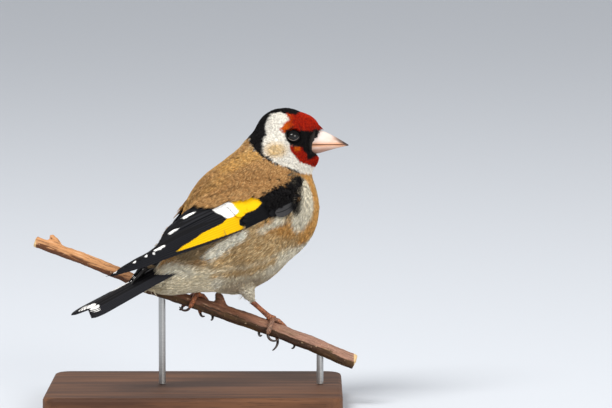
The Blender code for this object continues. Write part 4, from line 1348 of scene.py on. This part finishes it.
def nose_tufts(rng):
    """Middle lines of the short feathers that point forward over the bill's base.

    Gives four points a tuft, their normals and the tufts' widths.
    """
    table = np.array(BILL)
    lines, faces = [], []
    for _ in range(NOSE_TUFTS):
        turn = rng.uniform(-1.4, 1.4)
        side = np.array((0, math.sin(turn), math.cos(turn)))
        back = rng.uniform(0, 1.0)
        start = 11.0 - 1.5 * abs(turn) - 1.1 * back
        end = 13.1 - 1.8 * abs(turn) - 0.9 * back + rng.normal(0, 0.12)
        first = np.array((0, 3.8 + 0.3 * back, 5.0 + 1.1 * back))
        culmen, half = (np.interp(end, table[:, 0], table[:, i]) for i in (1, 4))
        last = np.array((0, half + 0.35, culmen + 1.3)) + 0.5 * back
        shares = np.array((0, 1, 2, 3))[:, None] / 3
        middle = (start + (end - start) * shares) * (1, 0, 0) + (0, 0, -0.9)
        middle = middle + side * (first + (last - first) * shares**1.5) * (0, 1, 1)
        lines.append(outer(middle, "head"))
        faces.append(np.tile((side + (0.5, 0, 0)) @ axes("head"), (4, 1)))
    return np.array(lines), unit(np.array(faces)), np.full(NOSE_TUFTS, NOSE_WIDTH)


def map_places(skin, roots):
    """Places on the skin's map nearest to these roots."""
    _, _, _, loops = arrays_of(skin.data)
    tree = tree_of(skin)
    nearest = [tree.find_nearest(root)[2] for root in roots]
    return map_of(skin)[loops[nearest]].mean(1)


# Tufts nearer than this to the tail, or less than this far over it, are dropped
TAIL_NEAR = 1.3
TAIL_OVER = 4.0
# Tufts narrower than this are the head's
HEAD_WIDTH = 1.38
# How far from its own place a tuft's colour is read, at random
STRAY = 0.1
# How far the wings' tufts start under the surface
WING_SINK = 0.3


def tail_clear(lines, normals):
    """Which tufts neither lie on the tail nor hang over it."""
    tail = tree_of(solid("tail"))
    level = normals[:, 2]
    down = Vector((0, 0, -1))
    near = np.array([tail.find_nearest(line[2], TAIL_NEAR)[0] is not None for line in lines])
    over = np.array([tail.ray_cast(Vector(line[3]), down, TAIL_OVER)[0] is not None for line in lines])
    return ~(near & (level > -0.5)) & ~(over & (level < 0.4))


def skin_coat(skin, ground, covers, looks, rng):
    """The tufts that stand on the skin, as pieces of the head and of the body."""
    own = settings_of("finch_skin")
    roots, normals, spots, ways, sizes = scattered(skin, rng)
    lines, faces, shown = laid_out(roots, normals, ways, sizes, ground, covers, in_mm(own.sink), rng)
    shown &= tail_clear(lines, normals)
    lines, faces, spots, sizes = (x[shown] for x in (lines, faces, spots, sizes))
    stray = rng.normal(0, STRAY, (len(lines), 3))
    main, lean = plumage(lines[:, 2] * 0.5 + lines[:, 1] * 0.5 + stray)
    seeds = (lines, faces, sizes[:, 3], main, lean, spots)
    is_head = sizes[:, 3] < HEAD_WIDTH
    for part, chosen, strands in (("head", is_head, own.head_strands), ("body", ~is_head, own.strands)):
        given = [column[chosen] for column in seeds]
        add_coat(f"coat_{part}", given, strands, looks[part], f"plumage_{part}", rng)


def shoulder_coat(skin, envelope, ground, looks, rng):
    """The tufts that stand on the wings: brown, black and, at the bend, smoky."""
    roots, normals, ways, sizes, kinds = wing_tufts(envelope, ground, rng)
    lines, faces, shown = laid_out(roots, normals, ways, sizes, ground, None, WING_SINK, rng)
    lines, faces, sizes, kinds, roots = (x[shown] for x in (lines, faces, sizes, kinds, roots))
    paints = {kind: linear(PAINTS[kind]) for kind in SHOULDER_COATS}
    main, lean = np.array([paints[kind] for kind in kinds]).transpose(1, 0, 2)
    seeds = (lines, faces, sizes[:, 3], main, lean, map_places(skin, roots))
    strands = settings_of("finch_skin").strands
    add_coat("coat_shoulder", seeds, strands, looks["body"], "plumage_body", rng)


def nose_coat(skin, looks, rng):
    """The short tufts that point forward over the bill's base."""
    lines, faces, widths = nose_tufts(rng)
    main, lean = plumage(lines[:, 2])
    seeds = (lines, faces, widths, main, lean, map_places(skin, lines[:, 0]))
    strands = settings_of("finch_skin").head_strands
    add_coat("coat_nose", seeds, strands, looks["head"], "plumage_head", rng)


def make_coat():
    """The small feathers over skin and wings, in several joined pieces."""
    rng = np.random.default_rng(SEED)
    own = settings_of("finch_skin")
    skin, *hard = needed("plumage_skin", "bill_culmen", "bill_jaw", "lids_left", "lids_right")
    vanes = needed(*[f"wing_{kind}_{side}" for kind in ("feathers", "arm") for side in EDGES])
    folded = [solid(f"wing_{side}") for side in EDGES]
    envelope = softened("envelope", ("torso", "neck", "wing_left", "wing_right"), 0.2, 1.0, own.drape)
    covers = tree_of(*folded, *vanes, solid("tail"), *hard)
    ground = tree_of(skin, *folded, *vanes, sunk=[(envelope, in_mm(own.under))])
    looks = {"body": coat_looks("coat_body", 0.03), "head": coat_looks("coat_head", 0.02)}
    skin_coat(skin, ground, covers, looks, rng)
    shoulder_coat(skin, envelope, ground, looks, rng)
    nose_coat(skin, looks, rng)
    bpy.data.objects.remove(envelope)


# The tail's middle line in the body's frame, and its roll about that line
TAIL_ROOT = Vector((-24.0, 0.0, 53.2))
TAIL_TIP = Vector((-63.3, 0.0, 36.2))
TAIL_ROLL = math.radians(-5)
# How far the middle feathers fall short, and how much longer each one beside them is
TAIL_NOTCH = 5.6
TAIL_FORK = {"right": 0.35, "left": 0.8}
# How far out each feather's root and tip are: those of the first, and the steps
TAIL_ROOTS = (0.8, 0.62)
TAIL_ENDS = (1.0, 0.88)
# How far each feather lies under the last, how much lower the right half is, the start
# of each behind the root, and its width
TAIL_LAYER = 0.21
TAIL_LOWER = {"right": 0.1, "left": 0.0}
TAIL_START = 2.0
TAIL_WIDTH = 5.4


def tail_frame():
    """Origin at the tail's root, X back along it, Z out of its upper side."""
    along = (TAIL_TIP - TAIL_ROOT).normalized()
    up = Vector((0, 1, 0)).cross(along)
    if up.z < 0:
        up = -up
    side = up.cross(along)
    own = Matrix((along, side, up)).transposed().to_4x4()
    stance = Matrix.Translation(Vector(BODY_CENTRE)) @ Matrix.Rotation(TURNS["body"], 4, "Z")
    return stance @ Matrix.Translation(TAIL_ROOT) @ own @ Matrix.Rotation(TAIL_ROLL, 4, "X")


# The white near each tail feather's tip, from the middle pair out: its middle's way from
# the tip, and its half length, on the near and the far side
TAIL_WHITE = {
    "right": ((2.6, 1.9), (2.7, 2.1), (2.9, 1.8), (0, 0), (0, 0), (0, 0)),
    "left": ((2.4, 2.0), (2.7, 2.4), (3.4, 2.8), (4.2, 3.2), (0, 0), (0, 0)),
}
# Where the white streak of the far outer feathers starts across them
TAIL_STREAK = {3: 0.55, 4: -0.1, 5: -0.6}
# A depth that stands for no mark at all
UNMARKED = -3.0


def tail_feather(vanes, side, k):
    """One tail feather, the k-th from the middle."""
    half = -1 if side == "left" else 1
    place = tail_frame()
    out = place.to_3x3() @ Vector((0, 0, 1))
    reach = (TAIL_TIP - TAIL_ROOT).length - TAIL_NOTCH + TAIL_FORK[side] * k
    base = half * (TAIL_ROOTS[0] + TAIL_ROOTS[1] * k)
    tip = half * (TAIL_ENDS[0] + TAIL_ENDS[1] * k)
    depth = -TAIL_LAYER * k - TAIL_LOWER[side]
    length = reach + TAIL_START
    white_at, white_long = TAIL_WHITE[side][k]

    def put(s, c):
        x = -TAIL_START + length * s
        y = base + (tip - base) * s + c * TAIL_WIDTH / 2 * vane_outline(s, 0.16)
        z = depth - 0.22 * c * c + 0.1
        return place @ Vector((x, y, z)), out, (1 - s) * length, c * half

    def marks(end, across):
        none = np.full(len(end), UNMARKED)
        white = none
        if white_long:
            far = np.hypot((end - white_at) / white_long, (across - 0.1) / 0.7)
            white = (1 - far) * 1.6
        if k in TAIL_STREAK and side == "left":
            share = 1 - end / length
            streak = np.minimum((across - TAIL_STREAK[k]) * 3.0, 7 - np.abs(share - 0.44) * 50)
            white = np.maximum(white, streak)
        return none, white

    vanes.add(put, marks, length, TAIL_WIDTH, (44, 8), 0.16)


def make_tail():
    """Twelve feathers, the middle pair on top, with white near their tips."""
    vanes = Vanes()
    for k in range(6):
        for side in EDGES:
            tail_feather(vanes, side, k)
    tail = vanes.made("tail_feathers")
    return finished(tail, feather_looks("tail_vanes"), "feathers_black", "tail")


# The bill about the head's centre: forward, culmen, gape line, lower edge, half width
BILL = (
    (6.3, 3.6, -2.2, -6.3, 4.3), (8.0, 3.6, -2.3, -6.3, 4.1), (11.0, 3.0, -2.45, -6.0, 3.5),
    (14.0, 1.75, -2.6, -5.15, 2.7), (17.0, 0.2, -2.75, -4.3, 1.85), (19.6, -1.3, -2.9, -3.65, 1.05),
    (21.2, -2.3, -2.98, -3.3, 0.5), (22.1, -2.9, -3.02, -3.12, 0.14),
)
# Sections along each half, points round each, half the gap at the gape, how much narrower
# the lower half is, and the least height of a section
BILL_STEPS = 26
BILL_SIDES = 24
GAPE = 0.06
TUCK = 0.12
THINNEST = 0.12


def bill_half(name, upper):
    """One half of the bill: sections along it, bridged, with its two ends closed."""
    bm = bmesh.new()
    table = np.array(BILL)
    loops = []
    for step in range(BILL_STEPS + 1):
        forward = np.interp(step / BILL_STEPS, (0, 1), (table[0, 0], table[-1, 0]))
        culmen, gape, lower, half = (np.interp(forward, table[:, 0], table[:, i]) for i in (1, 2, 3, 4))
        edge = gape + (GAPE if upper else -GAPE)
        height = max(culmen - edge if upper else edge - lower, THINNEST)
        half -= 0.0 if upper else TUCK
        made = bmesh.ops.create_circle(bm, segments=BILL_SIDES, radius=1)["verts"]
        for vert in made:
            y, z = vert.co.x, vert.co.y
            up = abs(z) ** 0.85 * height if z > 0 else 0.05 * z
            spot = (forward, y * half, edge + up if upper else edge - up)
            vert.co = Vector(outer(np.array(spot), "head"))
        loops.append({edge for vert in made for edge in vert.link_edges})
    for first, second in zip(loops, loops[1:]):
        bmesh.ops.bridge_loops(bm, edges=list(first | second))
    bmesh.ops.contextual_create(bm, geom=list(loops[0]))
    bmesh.ops.contextual_create(bm, geom=list(loops[-1]))
    bmesh.ops.recalc_face_normals(bm, faces=bm.faces)
    obj = from_bmesh(name, bm)
    smooth = obj.modifiers.new("smooth", "SUBSURF")
    smooth.levels = 1
    smooth.render_levels = 1
    return applied(obj)


def bill_looks():
    """Pale rosy horn with a painted highlight over the upper half near its base, orange along the gape,
    dark over the ridge and tip.
    """
    colours = settings_of("finch_colours")
    looks = Looks("bill_horn", Roughness=0.5, Specular_Ior_Level=0.25)
    place = looks.place()
    forward, _, high = looks.parts(place)
    ahead = forward * (1 / MM) - float(HEAD_CENTRE[0])
    up = high * (1 / MM) - float(HEAD_CENTRE[2])
    streaks = looks.noise(looks.stretched(place, (90.0, 700.0, 700.0)), 1.0)
    blotches = looks.noise(place, 420.0, 2.0)
    gape = (up + 2.65).math("ABSOLUTE")
    ridge = up - (3.3 - (ahead - 10.5) * 0.52)
    pale = looks.mixed(streaks.clipped(0.3, 0.7), colours.bill, (226, 204, 192))
    # Painted highlight over the upper half, fading toward the tip
    painted_highlight = (up + 2.2).clipped(0.0, 2.2) * (1 - ahead.clipped(12.0, 18.0)) * 0.8
    upper = looks.mixed(painted_highlight, pale, (224, 212, 206))
    rosy = looks.mixed((1 - gape.clipped(0.1, 1.3)) * 0.75, upper, (206, 140, 92))
    seam = looks.mixed(1 - gape.clipped(0.08, 0.22), rosy, (104, 60, 40))
    corner = (1 - ahead.clipped(7.4, 9.4)) * (1 - gape.clipped(0.3, 2.0))
    jaw = looks.mixed((1 - up.clipped(-4.9, -3.0)) * 0.85, seam, (150, 112, 96))
    dusk = looks.mixed(corner * 0.8, jaw, (104, 82, 70))
    dark = ahead.clipped(15.0, 19.0) * (ridge + blotches * 1.2).clipped(-0.9, 0.3)
    tip = (ahead + blotches * 1.5).clipped(20.2, 22.6)
    looks.feed("Base Color", looks.mixed((dark + tip * 0.8) * 0.85, dusk, (62, 48, 44)))
    looks.bump(streaks, 0.15, 0.0002)
    return looks


def make_bill():
    """Both halves of the bill."""
    looks = bill_looks()
    finished(bill_half("bill_culmen", True), looks, "bill", "bill_upper")
    finished(bill_half("bill_jaw", False), looks, "bill", "bill_lower")


# The left eye in the head's frame: its ball's radius, middle, the way it looks, and how
# flat the ball and lids are across the height
EYE_RADIUS = 2.25
EYE_PLACE = (1.5, 7.6, 0.75)
EYE_WAY = (0.02, 1.0, 0.0)
EYE_SQUASH = 0.9
# Half length of the lids' opening, and its height above and below the eye's middle
LID_OPENING = (2.1, 1.25, 1.3)
# Radius of the ring that the lids are shaped from, and of its round section
LID_RING = 2.0
LID_ROUND = 0.5


def lid_edge(turn):
    """How far the lids' edge is from the eye's axis, at this turn about it."""
    half, above, below = LID_OPENING
    c, s = abs(math.cos(turn)), abs(math.sin(turn))
    height = above if math.sin(turn) > 0 else below
    low, high = 0.0, half
    for _ in range(30):
        middle = (low + high) / 2
        inside = middle * s < height * (1 - min(1.0, middle * c / half) ** 2.2)
        low, high = (middle, high) if inside else (low, middle)
    return low


def lids(bm, place):
    """Both lids as one closed ring over the eyeball. Gives how pale each point of it is."""
    section = bmesh.ops.create_circle(bm, segments=16, radius=LID_ROUND)["verts"]
    for vert in section:
        vert.co = Vector((vert.co.x + LID_RING, 0, vert.co.y))
    whole = {"steps": 56, "angle": 2 * math.pi, "use_merge": True}
    bmesh.ops.spin(bm, geom=section + bm.edges[:], axis=(0, 0, 1), cent=(0, 0, 0), **whole)
    pale = []
    for vert in bm.verts:
        turn = math.atan2(vert.co.y, vert.co.x)
        outward = (math.hypot(vert.co.x, vert.co.y) - LID_RING) / LID_ROUND
        above = max(0.0, vert.co.z / LID_ROUND)
        start = math.asin(lid_edge(turn) / EYE_RADIUS)
        tilt = start + (1.5 - start) * (outward + 1) / 2
        far = EYE_RADIUS + 0.03 + 0.12 * above + 0.08 * (outward + 1)
        side = math.sin(tilt) * far
        vert.co = Vector((side * math.cos(turn), side * math.sin(turn), math.cos(tilt) * far))
        pale.append(float(eased((-outward - 0.7) / 0.3) * eased((0.1 - math.sin(turn)) / 0.4)))
    bmesh.ops.transform(bm, matrix=place, verts=bm.verts)
    bmesh.ops.recalc_face_normals(bm, faces=bm.faces)
    return pale


def make_eyes():
    """Both eyeballs, each with its lids as a ring over it."""
    ball = Looks("eye_gloss", Roughness=0.06, Specular_Ior_Level=0.4)
    grain = ball.noise(ball.place(), 900.0)
    ball.feed("Base Color", ball.mixed(grain.clipped(0.4, 0.8) * 0.5, (5, 4, 4), (14, 9, 7)))
    rim = Looks("eye_lid", Roughness=0.75, Specular_Ior_Level=0.1)
    rim.feed("Base Color", rim.mixed(rim.attribute("pale", "Fac"), (9, 8, 9), (128, 118, 112)))
    rim.bump(rim.noise(rim.place(), 4000.0), 0.3, 0.0001)
    for name, side in (("left", 1), ("right", -1)):
        place = Vector(outer(np.array((EYE_PLACE[0], EYE_PLACE[1] * side, EYE_PLACE[2])), "head"))
        out = Vector(np.array((EYE_WAY[0], EYE_WAY[1] * side, EYE_WAY[2])) @ axes("head")).normalized()
        level = Vector((0, 0, 1)).cross(out).normalized()
        turn = Matrix((level, out.cross(level), out)).transposed().to_4x4()
        turn = Matrix.Translation(place) @ turn @ Matrix.Diagonal((1, EYE_SQUASH, 1, 1))
        bm = bmesh.new()
        bmesh.ops.create_uvsphere(bm, u_segments=40, v_segments=24, radius=EYE_RADIUS, matrix=turn)
        finished(from_bmesh(f"eyeball_{name}", bm), ball, "eye", f"eye_{name}")
        bm = bmesh.new()
        pale = lids(bm, turn)
        ring = from_bmesh(f"lids_{name}", bm)
        set_values(ring.data, "pale", pale)
        finished(ring, rim, "plumage_head")


def leg_looks():
    """Scales with dark lines between, paler on the toes."""
    colours = settings_of("finch_colours")
    looks = Looks("leg_scales", Roughness=0.5)
    place = looks.place()
    rows = looks.stretched(place, (900.0, 900.0, 1300.0))
    plates = looks.node("ShaderNodeTexVoronoi", {"feature": "DISTANCE_TO_EDGE"}, Vector=rows, Scale=1.0)
    patchy = looks.noise(place, 350.0)
    base = looks.mixed(patchy.clipped(0.35, 0.7), colours.leg, (112, 62, 40))
    _, _, high = looks.parts(place)
    toes = 1 - (high * (1 / MM)).clipped(29.0, 35.0)
    base = looks.mixed(toes * patchy.clipped(0.25, 0.6) * 0.8, base, (158, 128, 108))
    lined = 1 - plates.clipped(0.02, 0.14)
    looks.feed("Base Color", looks.mixed(lined * 0.65, base, (62, 34, 24)))
    looks.bump(plates.clipped(0.0, 0.2), 0.6, 0.00025)
    return looks


# How far the claws are grown before they are smoothed
CLAW_GROW = 0.22


def make_legs():
    """Legs with their feet, and eight claws."""
    looks = leg_looks()
    horn = Looks("claw_horn", Roughness=0.35, Coat_Weight=0.2)
    shade = horn.noise(horn.place(), 700.0)
    horn.feed("Base Color", horn.mixed(shade.clipped(0.3, 0.7), (58, 38, 30), (30, 22, 20)))
    for side in ("left", "right"):
        shank = softened(f"shank_{side}", (f"leg_{side}", f"foot_{side}"), 0.2, 0.22, 4)
        finished(shank, looks, "leg", f"leg_{side}", f"foot_{side}")
        for number in range(1, 5):
            bm = bmesh.new()
            node_mesh(bm, f"claw_{side}_{number}")
            for vert in bm.verts:
                vert.co += vert.normal * (CLAW_GROW * MM)
            claw = from_bmesh(f"nail_{side}_{number}", bm, 1.0)
            smooth = claw.modifiers.new("smooth", "SUBSURF")
            smooth.levels = 2
            smooth.render_levels = 2
            finished(applied(claw), horn, "claw", f"claw_{side}_{number}")


# The twig's slope down to the right, how deep its ridges and knots are, and its half
# length, past which it shows cut wood
TWIG_SLOPE = 0.365
RIDGES = 0.2
KNOTS = 0.16
CUT = (57.15, 57.35)


def twig_bark():
    """The twig with a grooved bark. Its mesh carries how far each point faces up, which sets where the bark
    is painted as lit and where as in shade.
    """
    twig = softened("twig_bark", ("perch",), 0.05, 0.55, 2)
    bm = bmesh.new()
    bm.from_mesh(twig.data)
    bmesh.ops.subdivide_edges(bm, edges=bm.edges, cuts=1, use_grid_fill=True, smooth=0.6)
    bm.normal_update()
    for vert in bm.verts:
        spot = vert.co / MM
        along = spot.x * math.cos(TWIG_SLOPE) - spot.z * math.sin(TWIG_SLOPE)
        high = spot.x * math.sin(TWIG_SLOPE) + spot.z * math.cos(TWIG_SLOPE)
        ridges = noise.fractal(Vector((along * 0.14, spot.y * 0.9, high * 0.9)), 0.9, 2.0, 3)
        knots = noise.fractal(spot * 0.35, 1.0, 2.0, 2)
        vert.co += vert.normal * ((RIDGES * ridges + KNOTS * knots) * MM)
    bm.normal_update()
    upward = [vert.normal.z for vert in bm.verts]
    bm.to_mesh(twig.data)
    bm.free()
    twig.data.shade_smooth()
    set_values(twig.data, "upward", upward)
    return twig


def bark_looks():
    """Fibres along the twig, painted as lit and brown above with painted highlights on its ribs, in painted
    shade below, and paler to the left.
    """
    looks = Looks("bark_skin", Roughness=0.8)
    place = looks.place()
    across = looks.parts(place)[0] * (1 / MM)
    level = looks.stretched(place, (1.0, 1.0, 1.0), (0, -TWIG_SLOPE, 0))
    fibres = looks.noise(looks.stretched(level, (90.0, 1500.0, 1500.0)), 1.0, 5.0, 0.65)
    patches = looks.noise(looks.stretched(level, (70.0, 260.0, 260.0)), 1.0, 3.0)
    specks = looks.noise(place, 1300.0, 2.0)
    left = 1 - across.clipped(-34.0, -12.0)
    # Painted light and shade: the bark is painted as lit where it faces up and as in shade below
    top = (looks.attribute("upward", "Fac") + fibres * 0.9 + left * 0.15).clipped(0.36, 0.62)
    right = across.clipped(14.0, 34.0)
    # The bark's colour in painted shade below, warmer to the left
    under = looks.mixed(patches.clipped(0.35, 0.65), (52, 32, 18), (88, 62, 26))
    brown = looks.mixed(patches.clipped(0.35, 0.65), (124, 78, 52), (84, 54, 38))
    warm = looks.mixed(left * 0.9, brown, (198, 142, 92))
    # The bark's colour where it is painted as lit, pinkish grey to the right
    lit_side = looks.mixed(right * fibres.clipped(0.35, 0.6) * 0.9, warm, (184, 142, 122))
    sides = looks.mixed(left * 0.75, under, (108, 60, 28))
    lit = looks.mixed(top, sides, lit_side)
    grain = looks.mixed(fibres.clipped(0.5, 0.62) * 0.6, lit, (74, 44, 28))
    # Painted highlights on the raised fibres where the bark is painted as lit
    rib_highlights = looks.mixed((1 - fibres.clipped(0.32, 0.44)) * top * 0.45, grain, (222, 186, 152))
    pale = looks.mixed(specks.clipped(0.66, 0.74) * 0.6, rib_highlights, (206, 176, 140))
    ends = across.math("ABSOLUTE").clipped(*CUT)
    looks.feed("Base Color", looks.mixed(ends, pale, (206, 176, 128)))
    looks.bump(fibres + specks * 0.4, 0.7, 0.0005)
    return looks


def make_twig():
    """The twig in its bark."""
    finished(twig_bark(), bark_looks(), "bark", "perch")


def make_stand():
    """Wood and steel for the stand, which keeps its solids' own shapes."""
    wood = Looks("stand_walnut", Roughness=0.6, Specular_Ior_Level=0.25)
    place = wood.place()
    rings = wood.noise(wood.stretched(place, (14.0, 160.0, 160.0)), 1.0, 5.0)
    pores = wood.noise(wood.stretched(place, (120.0, 2600.0, 2600.0)), 1.0, 2.0)
    tone = wood.mixed(rings.clipped(0.35, 0.65), (70, 44, 30), (106, 70, 46))
    wood.feed("Base Color", wood.mixed(pores.clipped(0.58, 0.7) * 0.6, tone, (40, 25, 18)))
    wood.bump(pores, 0.15, 0.0001)
    steel = Looks("stand_rod_steel", Metallic=1.0)
    brushed = steel.noise(steel.stretched(steel.place(), (400.0, 400.0, 6000.0)), 1.0, 2.0)
    steel.feed("Base Color", steel.mixed(brushed, (150, 150, 150), (190, 190, 188)))
    steel.feed("Roughness", 0.28 + brushed * 0.15)
    for name, looks in (("stand_base", wood), ("stand_rod_front", steel), ("stand_rod_rear", steel)):
        materials = solid(name).data.materials
        materials.clear()
        materials.append(looks.material)


# The photograph's camera: millimetres a pixel at the twig, the frame's pixels, the one
# that the row's middle falls on, the distance, the angle down and the sensor's width
PIXEL = 0.36
PHOTO = (612, 408)
TWIG_PIXEL = 195.0
CAMERA_FAR = 1300.0
CAMERA_RISE = math.radians(5)
SENSOR = 36.0


class FinchStage(bpy.types.PropertyGroup):
    """Light and floor of the studio."""

    key: FloatProperty(
        name="Key light", description="Power of the soft light over the bird", default=40.0,
        min=0.0, unit="POWER",
    )
    fill: FloatProperty(
        name="Fill light", description="Power of the light beside the camera", default=30.0,
        min=0.0, unit="POWER",
    )
    sky: FloatProperty(
        name="Surrounding light", description="Strength of the light all round", default=0.66, min=0.0
    )
    floor: FloatVectorProperty(
        name="Floor", description="Colour of the floor", subtype="COLOR", min=0.0, max=1.0,
        default=tuple(linear((208, 213, 220))),
    )


# What the lights point at; and each light's place, size and colour, in metres
LIT = (0.01, 0.0, 0.075)
KEY_LIGHT = ((-0.9, -1.0, 1.8), 1.1, (1.0, 0.98, 0.95))
FILL_LIGHT = ((1.4, -1.8, 0.8), 1.3, (1.0, 0.97, 0.92))
SKY_COLOUR = (0.99, 0.99, 1.0, 1)
FLOOR_HALF = 6.0


def add_light(name, place, size, colour, power):
    """A round soft light that points at the bird."""
    data = bpy.data.lights.new(name, "AREA")
    data.shape = "DISK"
    data.size = size
    data.energy = power
    data.color = colour
    lamp = linked(name, data)
    lamp.location = place
    lamp.rotation_euler = (Vector(LIT) - Vector(place)).to_track_quat("-Z", "Y").to_euler()


def add_camera():
    """The photograph's view, from the right and a little above."""
    target = Vector(((PHOTO[0] / 2 - TWIG_PIXEL) * PIXEL, 0, PHOTO[1] / 2 * PIXEL))
    back = Vector((0, -math.cos(CAMERA_RISE), math.sin(CAMERA_RISE)))
    data = bpy.data.cameras.new("camera")
    data.sensor_width = SENSOR
    data.lens = SENSOR * CAMERA_FAR / (PHOTO[0] * PIXEL)
    camera = linked("camera", data)
    camera.location = (target + back * CAMERA_FAR) * MM
    camera.rotation_euler = (-back).to_track_quat("-Z", "Y").to_euler()
    bpy.context.scene.camera = camera


def make_stage():
    """A plain pale floor, soft light all round, two lights and the camera."""
    stage = settings_of("finch_stage")
    bm = bmesh.new()
    bmesh.ops.create_grid(bm, x_segments=8, y_segments=8, size=FLOOR_HALF)
    floor = from_bmesh("floor", bm, 1.0)
    looks = Looks("floor_paper", Roughness=0.9, Specular_Ior_Level=0.1, Base_Color=(*stage.floor, 1))
    floor.data.materials.append(looks.material)
    scene = bpy.context.scene
    scene.view_settings.view_transform = "Standard"
    scene.world = bpy.data.worlds.new("studio")
    scene.world.use_nodes = True
    ground = scene.world.node_tree.nodes["Background"]
    ground.inputs["Color"].default_value = SKY_COLOUR
    ground.inputs["Strength"].default_value = stage.sky
    add_light("key_light", *KEY_LIGHT, stage.key)
    add_light("fill_light", *FILL_LIGHT, stage.fill)
    add_camera()


class FINCH_OT_skin(bpy.types.Operator):
    """Build the one skin under the plumage of head, neck, body and thighs"""

    bl_idname = "finch.skin"
    bl_label = "Skin"

    def execute(self, context):
        make_skin()
        return {"FINISHED"}


class FINCH_OT_wings(bpy.types.Operator):
    """Build both folded wings, feather by feather"""

    bl_idname = "finch.wings"
    bl_label = "Wings"

    def execute(self, context):
        make_wings()
        return {"FINISHED"}


class FINCH_OT_tail(bpy.types.Operator):
    """Build the forked tail, feather by feather"""

    bl_idname = "finch.tail"
    bl_label = "Tail"

    def execute(self, context):
        make_tail()
        return {"FINISHED"}


class FINCH_OT_bill(bpy.types.Operator):
    """Build both halves of the bill"""

    bl_idname = "finch.bill"
    bl_label = "Bill"

    def execute(self, context):
        make_bill()
        return {"FINISHED"}


class FINCH_OT_eyes(bpy.types.Operator):
    """Build both eyes and their lids"""

    bl_idname = "finch.eyes"
    bl_label = "Eyes"

    def execute(self, context):
        make_eyes()
        return {"FINISHED"}


class FINCH_OT_coat(bpy.types.Operator):
    """Grow the small feathers; skin, wings, bill and eyes have to be there"""

    bl_idname = "finch.coat"
    bl_label = "Coat"

    def execute(self, context):
        make_coat()
        return {"FINISHED"}


class FINCH_OT_legs(bpy.types.Operator):
    """Build legs, feet and claws"""

    bl_idname = "finch.legs"
    bl_label = "Legs"

    def execute(self, context):
        make_legs()
        return {"FINISHED"}


class FINCH_OT_twig(bpy.types.Operator):
    """Build the twig's bark"""

    bl_idname = "finch.twig"
    bl_label = "Twig"

    def execute(self, context):
        make_twig()
        return {"FINISHED"}


class FINCH_OT_stand(bpy.types.Operator):
    """Give the stand its wood and steel"""

    bl_idname = "finch.stand"
    bl_label = "Stand"

    def execute(self, context):
        make_stand()
        return {"FINISHED"}


class FINCH_OT_stage(bpy.types.Operator):
    """Set floor, light and camera"""

    bl_idname = "finch.stage"
    bl_label = "Stage"

    def execute(self, context):
        make_stage()
        return {"FINISHED"}


# The steps in the order in which they run, and the groups of settings by their name
OPERATORS = (
    FINCH_OT_skin, FINCH_OT_wings, FINCH_OT_tail, FINCH_OT_bill, FINCH_OT_eyes,
    FINCH_OT_coat, FINCH_OT_legs, FINCH_OT_twig, FINCH_OT_stand, FINCH_OT_stage,
)
GROUPS = {"finch_skin": FinchSkin, "finch_colours": FinchColours, "finch_stage": FinchStage}


class FINCH_PT_panel(bpy.types.Panel):
    """The settings, and every step of the goldfinch in order"""

    bl_label = "Goldfinch"
    bl_idname = "FINCH_PT_panel"
    bl_space_type = "VIEW_3D"
    bl_region_type = "UI"
    bl_category = "Goldfinch"

    def draw(self, context):
        for key, group in GROUPS.items():
            box = self.layout.box()
            for name in group.__annotations__:
                box.prop(getattr(context.scene, key), name)
        for step in OPERATORS:
            self.layout.operator(step.bl_idname)


def register():
    """Adds the settings, the steps and the panel."""
    for key, group in GROUPS.items():
        bpy.utils.register_class(group)
        setattr(bpy.types.Scene, key, PointerProperty(type=group))
    for made in (*OPERATORS, FINCH_PT_panel):
        bpy.utils.register_class(made)


def unregister():
    """Takes them all away again."""
    for made in reversed((*OPERATORS, FINCH_PT_panel)):
        bpy.utils.unregister_class(made)
    for key, group in GROUPS.items():
        delattr(bpy.types.Scene, key)
        bpy.utils.unregister_class(group)


def main():
    """Runs every step."""
    register()
    for step in OPERATORS:
        getattr(bpy.ops.finch, step.bl_idname.split(".")[1])()
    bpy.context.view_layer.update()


if __name__ == "__main__":
    main()
